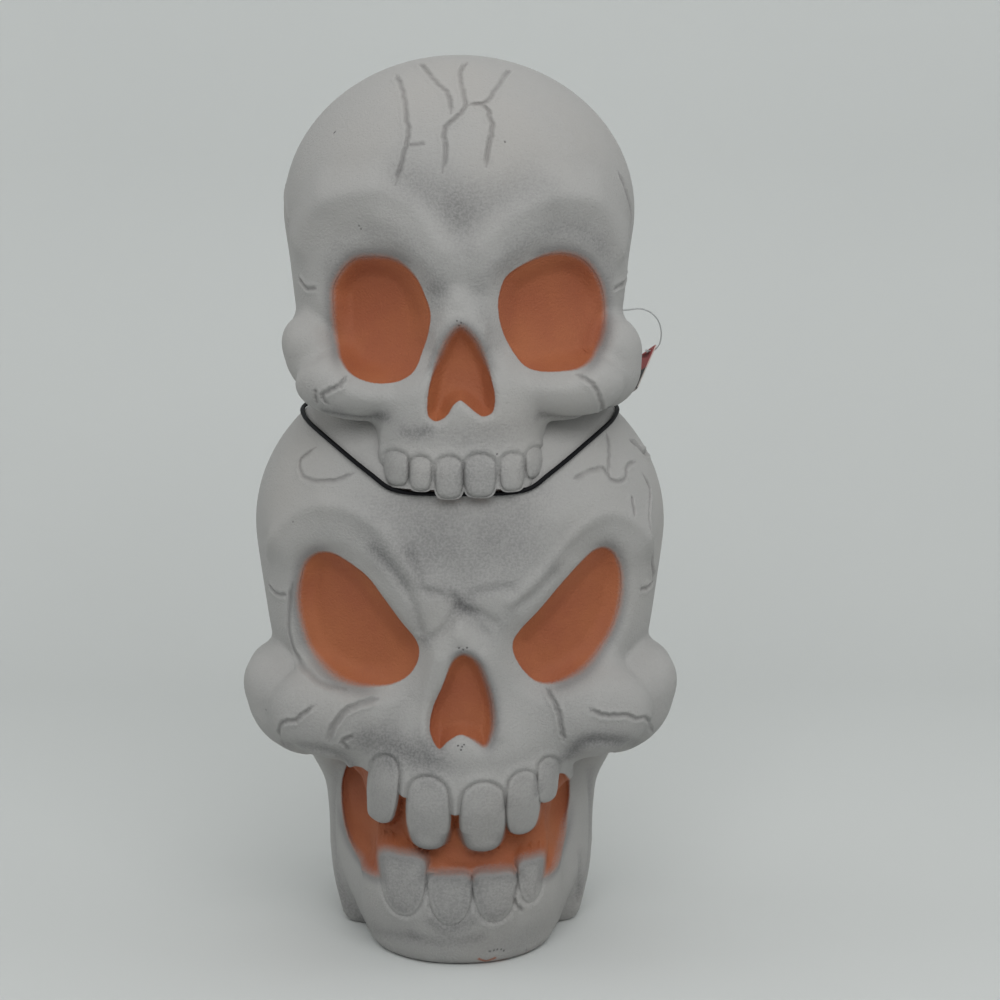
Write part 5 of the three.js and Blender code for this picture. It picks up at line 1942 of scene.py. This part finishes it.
def thread(
    name: str, turns: float, pitch: float, radius: float, thickness: float, place: Matrix,
    material: Material,
) -> Piece:
    """Rolled screw thread round an axis.

    Args:
        name: the object's name.
        turns: how many turns it makes.
        pitch: its rise in each turn, in millimetres.
        radius: the radius of its middle line.
        thickness: its thickness.
        place: where it starts, with its axis along z.
        material: its finish.

    Returns:
        The thread.
    """
    tree = PatternTree(name + "_pattern", {
        "Turns": turns, "Rise": turns * pitch * MM, "Radius": radius * MM, "Thickness": thickness * MM,
    })
    spiral = tree.add("GeometryNodeCurveSpiral", {
        "Resolution": 36, "Rotations": tree.size("Turns"), "Start Radius": tree.size("Radius"),
        "End Radius": tree.size("Radius"), "Height": tree.size("Rise"),
    })
    swept = tree.add("GeometryNodeCurveToMesh", {0: spiral, 1: tree.section(), "Fill Caps": True})
    return tree.grown(name, swept, place, material)


@dataclass
class Lead:
    """Two-wire lamp lead: up to the neck, once round it, down to the switch, and coiled up to its plug."""

    diameter: float = 3.0
    route: tuple[Point3, ...] = (
        (0, 143.9, 300), (0, 147, 300), (0, 155, 302.5), (0, 160, 309), (0, 160.5, 319), (1, 155, 334),
        (3, 143.5, 349), (7, 128, 362), (13, 111, 372), (21, 96, 379), (32, 85.5, 381.5), (45, 77.5, 382),
        (58, 70, 381.7), (72.5, 61, 380), (86, 50, 377.7), (98.5, 36, 374.2), (106.8, 19, 371.2),
        (109.8, 0, 368.7), (107.8, -19, 366.2), (102.5, -37.3, 362.2), (94, -54.3, 357.2),
        (83, -69.8, 350.2), (70, -83.5, 341.2), (58, -92.7, 333), (46, -99.6, 325), (33, -103.2, 322.4),
        (17, -105.9, 322), (0, -106.8, 321.9), (-17, -105.9, 322), (-33, -103.2, 322.4), (-46, -99.6, 325),
        (-58, -92.7, 333), (-70, -83.5, 341.2), (-83, -69.8, 350.2), (-94, -54.3, 357.2),
        (-102.5, -37.3, 362.2), (-107.8, -19, 366.2), (-109.8, 0, 368.7), (-106.8, 19, 371.2),
        (-98.5, 36.5, 374), (-87, 52.5, 376), (-76, 68, 374), (-67.5, 82, 367.5), (-62.5, 93, 358),
        (-60, 102, 346), (-60, 109, 330.5), (-60, 114.5, 312), (-60, 117.2, 293), (-60, 118, 272),
        (-60, 118.2, 230), (-60, 118.4, 180), (-60, 118.6, 130), (-60, 118.8, 80), (-60, 119.2, 45),
        (-59, 120.2, 24), (-53, 122.8, 8.5), (-42, 126.5, 2.3), (-33, 129.2, 2.6), (-26, 130.3, 4.6),
        (-21.3, 131.05, 6.3), (-18.3, 131.05, 6.3),
    )
    coil_middle: Point2 = (52, 154)
    coil_outer: float = 22.95
    coil_turns: float = 5.5
    coil_pitch: float = 3.6
    coil_low: float = 1.8
    coil_end_x: float = 28.3
    switch_height: float = 6.3
    plug_height: float = 7.3

    def route_line(self) -> Array:
        """The stretch from the strain relief to the switch, in metres."""
        return through(self.route, 6) * MM

    def coil_point(self, turn: float) -> Point3:
        """One point of the coil, which spirals in on the floor and out again on top of itself.

        Args:
            turn: how many turns lie before it.

        Returns:
            The point, in millimetres.
        """
        radius = self.coil_outer - self.coil_pitch * min(turn, self.coil_turns - turn)
        angle = 2 * math.pi * turn - math.pi / 2
        middle = self.coil_turns / 2
        climb = float(smooth(middle - 0.25, middle + 0.25, np.array(turn)))
        x, y = self.coil_middle
        height = self.coil_low + climb * self.coil_pitch
        return x + radius * math.cos(angle), y + radius * math.sin(angle), height

    def coil_end(self, y: float, high: float, low: float) -> list[Point3]:
        """Straight end of the coil, from the piece on the lead down to the coil.

        Args:
            y: where it lies.
            high: its height at the piece.
            low: its height at the coil.

        Returns:
            The end's points, in millimetres.
        """
        found = []
        for i in range(5):
            x = self.coil_end_x + (self.coil_middle[0] - self.coil_end_x) * i / 5
            reach = self.coil_middle[0] - self.coil_end_x
            share = float(smooth(self.diameter, reach, np.array(x - self.coil_end_x)))
            found.append((x, y, high + (low - high) * share))
        return found

    def coil_line(self) -> Array:
        """The stretch from the switch through the coil to the plug, in metres."""
        y = self.coil_middle[1]
        turns = np.linspace(0, self.coil_turns, int(self.coil_turns * 24) + 1)
        points = self.coil_end(y - self.coil_outer, self.switch_height, self.coil_low)
        points += [self.coil_point(float(turn)) for turn in turns]
        points += self.coil_end(y + self.coil_outer, self.plug_height, self.coil_low + self.coil_pitch)[::-1]
        return through(points, 2) * MM

    def lay(
        self, name: str, line: Array, far_end: str, lay: str, nodes: Sequence[str],
        pieces: Sequence[Piece | str], finishes: Finishes,
    ) -> Piece:
        """Args:
            name: the object's name.
            line: its middle line, in metres.
            far_end: what is on its far end; not used.
            lay: how it lies; not used.
            nodes: the CAD nodes that it stands for.
            pieces: the pieces on it; not used.
            finishes: the decoration's finishes.

        Returns:
            The stretch.
        """
        made = tube(name, line, self.diameter * MM / 2)
        finished(made, finishes.vinyl, nodes=nodes)
        return made


@dataclass
class StrainRelief:
    """Tapered and ribbed vinyl sleeve where the lead leaves the lamp holder."""

    foot: float = 121.6
    length: float = 22.0
    base_radius: float = 5.5
    tip_radius: float = 2.5
    ribs: int = 5
    def build(self, finishes: Finishes) -> None:
        """Builds the sleeve and its ribs."""
        base, tip, end = self.base_radius, self.tip_radius, self.length
        profile = [
            (0, -3.5), (2.9, -3.5), (3.2, -3.2), (3.2, 0), (5.2, 0), (base, 0.3), (base, 2.2), (4.5, 2.8),
        ]
        profile += [(4.5 - 2.1 * t, 2.8 + (end - 3.4) * t) for t in (0.25, 0.5, 0.75)]
        profile += [(tip, end - 0.5), (tip - 0.4, end), (0, end)]
        sleeve = turned("strain_relief_sleeve", profile, on_lamp_axis(self.foot))
        finished(sleeve, finishes.vinyl, nodes=["strain_relief"])
        first = on_lamp_axis(self.foot + 4.6)
        ribs = ring_row("strain_relief_ribs", self.ribs, 3.3, 4.25, 2.85, 1.5, first, finishes.vinyl)
        finished(ribs, finishes.vinyl)


@dataclass
class LampHolder:
    """Snap-in candelabra lamp holder with its flange, spring clips, screw shell and contact."""

    outer: float = 121.3
    inner: float = 99.3
    floor: float = 116.3
    bore: float = 7.05

    def build(self, finishes: Finishes) -> None:
        """Builds the holder and dresses the small metal pieces inside it."""
        out, low, bore = self.outer, self.inner, self.bore
        profile = [
            (3.5, self.floor), (bore, self.floor), (bore, low + 0.6), (bore + 0.6, low), (12.6, low),
            (13.4, low + 0.8), (13.4, 116.8), (13.2, 117.4), (13.2, 118.3), (17.4, 118.3), (18, 118.9),
            (18, out - 1.2), (17.6, out - 0.5), (16.6, out), (8.4, out), (7.9, out - 0.4), (7.4, out - 0.4),
            (6.9, out), (3.5, out),
        ]
        holder = self.ring("lamp_holder_body", profile, on_lamp_axis())
        finished(holder, finishes.plastic, nodes=["lamp_holder"])
        first = on_lamp_axis(low + 2.4)
        grips = ring_row("lamp_holder_ribs", 4, 3.4, 13.15, 13.15, 1.1, first, finishes.plastic)
        finished(grips, finishes.plastic)
        for name, material in (
            ("socket_screw_shell", finishes.brass), ("socket_contact", finishes.brass),
            ("spring_clip_left", finishes.steel), ("spring_clip_right", finishes.steel),
        ):
            dressed(name, material)

    def ring(self, name: str, profile: Sequence[Point2], place: Matrix, sides: int = 72) -> Piece:
        """Solid ring turned from a closed profile of radius and height.

        Args:
            name: the object's name.
            profile: the profile, in millimetres.
            place: where its axis stands.
            sides: how many sides it has.

        Returns:
            The ring.
        """
        count = len(profile)
        angles = np.linspace(0, 2 * math.pi, sides, endpoint=False)
        points = [(r * MM * math.cos(a), r * MM * math.sin(a), h * MM) for a in angles for r, h in profile]
        faces = []
        for i in range(sides):
            for k in range(count):
                a, b = i * count + k, i * count + (k + 1) % count
                c, d = ((i + 1) % sides) * count + (k + 1) % count, ((i + 1) % sides) * count + k
                faces.append((a, d, c, b))
        return shaded(mesh_object(name, placed(points, place), faces), 35)


@dataclass
class Bulb:
    """Clear candelabra bulb with a threaded cap, a stem and a wound filament."""

    tip: float = 61.2
    foot: float = 99.2
    wall: float = 0.7

    def build(self, finishes: Finishes) -> None:
        """Builds the bulb, which screws out of its holder."""
        cap = turned("bulb_cap_shell", [
            (0, 112.4), (2.6, 112.4), (3.0, 112.0), (4.9, 109.2), (5.2, 108.6), (5.2, 98.3), (5.5, 97.7),
            (4.9, 97.7), (4.7, 98.2), (4.7, 108.4), (2.0, 110.9), (0, 110.9),
        ][::-1], on_lamp_axis())
        finished(cap, finishes.brass, "bulb", ["bulb_cap"])
        worm = thread("bulb_thread", 3.6, 2.4, 5.2, 1.1, on_lamp_axis(self.foot), finishes.brass)
        finished(worm, finishes.brass, "bulb")
        finished(self.glass(), finishes.glass, "bulb", ["bulb_glass"])
        dressed("bulb_contact", finishes.brass)
        dressed("bulb_stem", finishes.glass)
        dressed("bulb_filament", finishes.steel)

    def glass(self) -> Piece:
        """The glass envelope with its thin wall, closed all round."""
        tip = self.tip
        outer = [
            (0.0, tip), (1.6, tip + 0.5), (3.4, tip + 2.4), (5.4, tip + 5.6), (7.6, tip + 9.8),
            (9.6, tip + 14.2), (10.8, tip + 18.6), (11.0, tip + 22.0), (10.4, tip + 25.8), (8.8, tip + 29.8),
            (6.6, tip + 33.0), (4.9, tip + 35.4), (4.3, tip + 37.0), (4.3, self.foot),
        ]
        curve = through(outer, 4)
        curve[:, 0] = np.maximum(curve[:, 0], 0)
        inner = curve.copy()
        inner[:, 0] = np.maximum(inner[:, 0] - self.wall, 0)
        inner[:, 1] = inner[:, 1] + self.wall * (1 - np.clip((inner[:, 1] - tip) / 20, 0, 1))
        profile = [tuple(p) for p in curve] + [tuple(p) for p in inner[::-1]]
        return turned("bulb_envelope", profile, on_lamp_axis(), 64)


@dataclass
class LineSwitch:
    """In-line rocker switch: two halves of a housing, the rocker and two screws."""

    middle: Point2 = (5.0, 131.05)
    low: float = 0.3
    length: float = 46.0
    width: float = 17.0
    height: float = 13.0
    parting: float = 6.0
    pin_height: float = 10.1
    tilt: float = 12.0

    def half(self, name: str, low: float, high: float, bevel_below: bool) -> Piece:
        """One half of the housing, its outer edge well rounded.

        Args:
            name: the object's name.
            low: its lowest height.
            high: its highest height.
            bevel_below: whether the rounded edge is the lower one.

        Returns:
            The half.
        """
        steps = [(1.6, 0.0), (0.9, 0.2), (0.4, 0.6), (0.1, 1.1), (0.0, 1.7)]
        rings = [(inset, low + rise) for inset, rise in steps] if bevel_below else [(0.0, low)]
        rings += [(0.0, high)] if bevel_below else [(inset, high - rise) for inset, rise in steps[::-1]]
        x, y = self.middle
        loops = []
        for inset, z in rings:
            outline = rounded_outline((self.length / 2 - inset, self.width / 2 - inset), 5 - inset, 8)
            loops.append([(x + px, y + py, self.low + z) for px, py in outline])
        return loft(name, np.array(loops) * MM, 35)

    def build(self, finishes: Finishes) -> list[Piece]:
        """Builds the switch and returns the pieces that sit on the lead."""
        x, y = self.middle
        base = self.half("switch_lower_half", 0.0, self.parting - 0.15, True)
        cover = self.half("switch_upper_half", self.parting + 0.15, self.height, False)
        well = block("well", (14.9, 8.6, 12), shift(x, y, self.low + 9.7), 0.6)
        combined(cover, well, "DIFFERENCE")
        drilled(cover, 1.5, -5.6, 5.6, placing((x, y, self.pin_height), (0, 1, 0)))
        pieces = []
        for side, name in ((-1, "left"), (1, "right")):
            spot = shift(x + side * 17, y, self.low)
            drilled(base, 1.75, -2, 8.0, spot)
            drilled(cover, 1.75, -2, 10.0, spot)
            drilled(base, 2.95, -2, 1.95, spot, 32)
            pieces.append(self.screw(f"switch_screw_{name}", spot, finishes))
        for part, node in ((base, "switch_base"), (cover, "switch_cover")):
            shaded(part, 35)
            finished(part, finishes.plastic, nodes=[node])
            pieces.append(part)
        self.rocker(finishes)
        return pieces

    def screw(self, node: str, spot: Matrix, finishes: Finishes) -> Piece:
        """Cross-slotted screw seen from below.

        Args:
            node: the CAD node that it stands for.
            spot: where its axis stands.
            finishes: the decoration's finishes.

        Returns:
            The screw.
        """
        screw = turned(node + "_slotted", (
            (0, 0.3), (1.9, 0.3), (2.4, 0.5), (2.6, 0.9), (2.6, 1.6), (1.4, 1.6), (1.4, 9.2), (0.5, 9.6),
            (0, 9.6),
        ), spot, 32)
        for size in ((3.4, 0.6, 1.4), (0.6, 3.4, 1.4)):
            combined(screw, block("slot", size, spot @ shift(0, 0, 0.3), 0.05, 1), "DIFFERENCE")
        return finished(shaded(screw, 35), finishes.steel, nodes=[node])

    def rocker(self, finishes: Finishes) -> None:
        """Rocker with its pin, tilted as at rest."""
        angle = math.radians(self.tilt)
        end = 3.2 + 6.5 * math.tan(angle)
        side = [
            (-3.25, -3), (3.25, -3), (6.3, -0.4), (6.5, 0.2), (6.5, end - 0.3), (6.1, end), (3.2, 3.75),
            (0, 3.2), (-3.2, 3.75), (-6.1, end), (-6.5, end - 0.3), (-6.5, 0.2), (-6.3, -0.4),
        ]
        tilted = shift(*self.middle, self.pin_height) @ Matrix.Rotation(angle, 4, "Y")
        made = prism("switch_rocker_paddle", side, 0, 8, tilted @ placing((0, 4, 0), (0, -1, 0)))
        softened(made, 0.3, 2, 40)
        combined(made, rod(1.2, -5.3, 5.3, tilted @ placing((0, 0, 0), (0, 1, 0)), 24), "UNION")
        finished(shaded(made, 35), finishes.plastic, "rocker", ["switch_rocker"])


@dataclass
class Plug:
    """Two-blade mains plug, one blade wider than the other."""

    front: Point3 = (-13.0, 176.95, 7.3)
    steps: tuple[Point3, ...] = (
        (1.2, 0, 0), (0.4, 0.5, 0), (0.0, 1.3, 0), (0.0, 9, 0), (0.7, 13, 0.3), (1.5, 18, 0.8),
        (0.9, 24, 0.5), (0.9, 28, 0.4), (1.6, 29.4, 0.9), (2.6, 30, 1.6),
    )
    blade_gap: float = 12.7

    def build(self, finishes: Finishes) -> list[Piece]:
        """Builds the plug and returns its pieces."""
        place = placing(self.front, (1, 0, 0), (0, 1, 0))
        rings = []
        for inset, along, narrow in self.steps:
            outline = rounded_outline((11 - inset, 7 - inset * 0.6 - narrow), 3.4, 8)
            rings.append([(x, y, along) for x, y in outline])
        body = loft("plug_moulding", placed(np.array(rings) * MM, place), 35)
        neck = ((0, 20), (4.5, 20), (4.5, 31), (4.2, 33), (3.6, 37), (3.0, 40.6), (2.6, 41), (0, 41))
        combined(body, turned("neck", neck, place, 40), "UNION")
        pieces = []
        for index, (name, width) in enumerate((("narrow", 6.3), ("wide", 7.9))):
            offset = (index - 0.5) * self.blade_gap
            slit = block("slit", (2.1, width + 0.6, 12.6), place @ shift(offset, 0, 0), 0.05, 1)
            combined(body, slit, "DIFFERENCE")
            side = place @ shift(offset - 0.75, 0, 0)
            pieces.append(self.blade(f"plug_blade_{name}", width, side, finishes))
        finished(shaded(body, 35), finishes.vinyl, nodes=["plug_body"])
        x, y, z = self.front
        start = placing((x + 32.2, y, z), (1, 0, 0))
        ribs = ring_row("plug_neck_ribs", 3, 2.5, 4.1, 3.3, 1.2, start, finishes.vinyl)
        finished(ribs, finishes.vinyl)
        return [body, ribs, *pieces]

    def blade(self, node: str, width: float, side: Matrix, finishes: Finishes) -> Piece:
        """Flat blade with rounded tip corners and its locking hole.

        Args:
            node: the CAD node that it stands for.
            width: its width.
            side: where its flat side lies.
            finishes: the decoration's finishes.

        Returns:
            The blade.
        """
        half = width / 2
        outline = [
            (half, 6), (-half, 6), (-half, -15.4), (-half + 0.5, -16.5), (-half + 1.6, -17),
            (half - 1.6, -17), (half - 0.5, -16.5), (half, -15.4),
        ]
        flat = side @ placing((0, 0, 0), (1, 0, 0), (0, 1, 0))
        made = prism(node + "_holed", outline, 0, 1.5, flat)
        drilled(made, 1.6, -2, 4, flat @ shift(0, -12.5, 0), 28)
        return finished(shaded(made, 35), finishes.brass, nodes=[node])


@dataclass
class HangTag:
    """Blank hang tag on a loop of nylon thread, behind the cheek."""

    hole: Point3 = (135.5, 21.0, 407.0)
    down: Point3 = (-0.38, -0.6, -0.7)
    across: Point3 = (-0.45, 0.785, -0.42)
    half: Point2 = (12.0, 21.0)
    thickness: float = 0.8
    hole_inset: Point2 = (5.0, 4.0)
    loop: tuple[Point3, ...] = (
        (102, 5, 436.5), (117, 5, 436.5), (126, 7, 437.3), (134, 10.5, 434.5), (139.8, 14.5, 428.5),
        (142.3, 18, 420.5), (141.6, 20.4, 412.5), (138.8, 21, 408.4), (136.5, 21, 407.2), (132.6, 21, 407),
    )

    def build(self, finishes: Finishes) -> None:
        """Builds the card and its fastener."""
        down = np.array(self.down) / np.linalg.norm(self.down)
        across = np.array(self.across) - (np.array(self.across) @ down) * down
        across /= np.linalg.norm(across)
        place = placing(self.hole, tuple(np.cross(across, -down)), tuple(across))
        (x, y), (x_in, y_in) = self.half, self.hole_inset
        card = self.card(place @ shift(x - x_in, y_in - y, -self.thickness / 2))
        finished(card, finishes.card, "tag", ["tag_card"])
        line = through(self.loop, 8) * MM
        nylon = tube("tag_thread", line, 0.5 * MM, 12)
        bar = tube("tag_bar", np.array([[102, 5, 431.5], [102, 5, 441.5]]) * MM, 0.8 * MM, 12)
        paddle = tube("tag_paddle", np.array([[132.6, 18, 407], [132.6, 24, 407]]) * MM, 0.9 * MM, 12)
        combined(nylon, bar, "UNION")
        combined(nylon, paddle, "UNION")
        finished(shaded(nylon, 40), finishes.nylon, nodes=["tag_fastener"])

    def card(self, place: Matrix) -> Piece:
        """The card, a fine grid with rounded corners, a punched hole, and its own distances kept on it.

        Args:
            place: where its middle lies.

        Returns:
            The card.
        """
        outline = rounded_outline(self.half, 2.0, 8)
        made = prism("tag_card_blank", outline, 0, self.thickness, shift(0, 0, 0))
        (x, y), (x_in, y_in) = self.half, self.hole_inset
        drilled(made, 1.6, -2, 4, shift(x_in - x, y - y_in, 0), 32)
        for _ in range(3):
            divided = made.modifiers.new("divide", "SUBSURF")
            divided.subdivision_type = "SIMPLE"
            divided.levels = divided.render_levels = 1
            frozen(made)
        points = points_of(made)
        edge = np.minimum(x * MM - np.abs(points[:, 0]), y * MM - np.abs(points[:, 1]))
        kept_on(made, {"card_down": y * MM - points[:, 1], "card_edge": edge})
        made.data.vertices.foreach_set("co", placed(points, place).astype(np.float32).ravel())
        made.data.update()
        return shaded(made, 35)


# Studio

@dataclass(frozen=True)
class Studio:
    """Pale sweep of floor and backdrop, and soft light from above."""

    floor: Colour = (0.60, 0.615, 0.607)
    wall: Colour = (0.66, 0.676, 0.668)

    def sweep(self) -> Piece:
        """Floor that curves up into a backdrop behind the object."""
        profile = [(-2.2, 0.0), (0.7, 0.0)]
        turn = np.linspace(0.1, math.pi / 2, 14)
        profile += [(0.7 + 0.6 * math.sin(a), 0.6 - 0.6 * math.cos(a)) for a in turn]
        profile += [(1.3, 3.2)]
        points = [(x, y, z) for y, z in profile for x in (-3.5, 3.5)]
        faces = [(2 * i, 2 * i + 1, 2 * i + 3, 2 * i + 2) for i in range(len(profile) - 1)]
        made = mesh_object("studio_sweep", np.array(points), faces)
        made.data.materials.append(self.sweep_material())
        shaded(made, 60)
        return made

    def sweep_material(self) -> Material:
        """Pale matt paper, a touch cooler up the wall, and clear from behind for a look at the back."""
        recipe = Recipe("studio_paper")
        place = recipe.add("ShaderNodeSeparateXYZ", {"Vector": recipe.coordinates}, "Z")
        cloud = recipe.noise(1.3, 2)
        colour = recipe.mix(place.step(0.0, 0.6), self.floor, self.wall)
        colour = recipe.mix(cloud.step(0.3, 0.8) * 0.08, colour, (0.42, 0.44, 0.45))
        behind = recipe.add("ShaderNodeNewGeometry", {}, "Backfacing")
        return recipe.surface(Base_Color=colour, Roughness=0.85, Specular_IOR_Level=0.15, Alpha=1 - behind)

    def lamp(self, name: str, place: Point3, target: Point3, size: Point2, power: float) -> None:
        """Soft rectangular lamp aimed at a point.

        Args:
            name: the lamp's name.
            place: where it hangs.
            target: the point.
            size: its two sizes.
            power: its power in watts.
        """
        data = bpy.data.lights.new(name, "AREA")
        data.shape = "RECTANGLE"
        data.size, data.size_y = size
        data.energy = power
        made = linked(name, data)
        aim = Vector(target) - Vector(place)
        made.matrix_world = Matrix.Translation(place) @ aim.to_track_quat("-Z", "Y").to_matrix().to_4x4()

    def light(self) -> None:
        """Key lamp above the camera, overhead and side lamps, and an even world."""
        self.lamp("key", (0.15, -1.4, 1.4), (0, 0, 0.42), (1.5, 0.9), 15.5)
        self.lamp("overhead", (0.1, 0.1, 2.3), (0, 0.1, 0.2), (2.6, 2.2), 11)
        self.lamp("left_window", (-1.9, 0.1, 1.2), (0, 0, 0.35), (1.4, 1.6), 7.5)
        self.lamp("right_window", (1.9, 0.1, 1.2), (0, 0, 0.35), (1.4, 1.6), 6.5)
        world = bpy.data.worlds.new("room")
        world.use_nodes = True
        world.node_tree.nodes["Background"].inputs["Color"].default_value = (0.96, 1.0, 0.99, 1.0)
        world.node_tree.nodes["Background"].inputs["Strength"].default_value = 0.37
        bpy.context.scene.world = world
        bpy.context.scene.view_settings.view_transform = "Standard"


def main() -> None:
    """Builds the whole decoration, the camera and the lead first, then piece by piece."""
    PHOTO.place()
    finishes = Finishes.made()
    lead = Lead()
    switch_pieces = LineSwitch().build(finishes)
    plug_pieces = Plug().build(finishes)
    run = ["lead_rise", "lead_wrap", "lead_drop"]
    lead.lay("lead_round_the_neck", lead.route_line(), "fitting", "loose", run, switch_pieces, finishes)
    lead.lay("lead_coiled_up", lead.coil_line(), "plug", "coiled", ["lead_coil"], plug_pieces, finishes)
    StrainRelief().build(finishes)
    LampHolder().build(finishes)
    Bulb().build(finishes)
    HangTag().build(finishes)
    studio = Studio()
    studio.sweep()
    studio.light()
    lower = LowerSkull("lower_skull", "lower_skull_shell", LOWER_FORM, LOWER_FACE, (0, -1, 0), frequency=60)
    upper = UpperSkull("upper_skull", "upper_skull_shell", UPPER_FORM, UPPER_FACE, (0, -1, 0))
    lower_shell = lower.build()
    seat, floor = upper.seat_gap, upper.seat_gap + upper.floor_wall * MM
    upper_shell = upper.build(lower.crown(seat), lower.crown(floor))
    for skull, shell in ((lower, lower_shell), (upper, upper_shell)):
        finished(shell, finishes.foam, nodes=[skull.node])
        log.info("%s: %d faces", shell.name, len(shell.data.polygons))


if __name__ == "__main__":
    logging.basicConfig(level=logging.INFO, format="%(message)s")
    main()
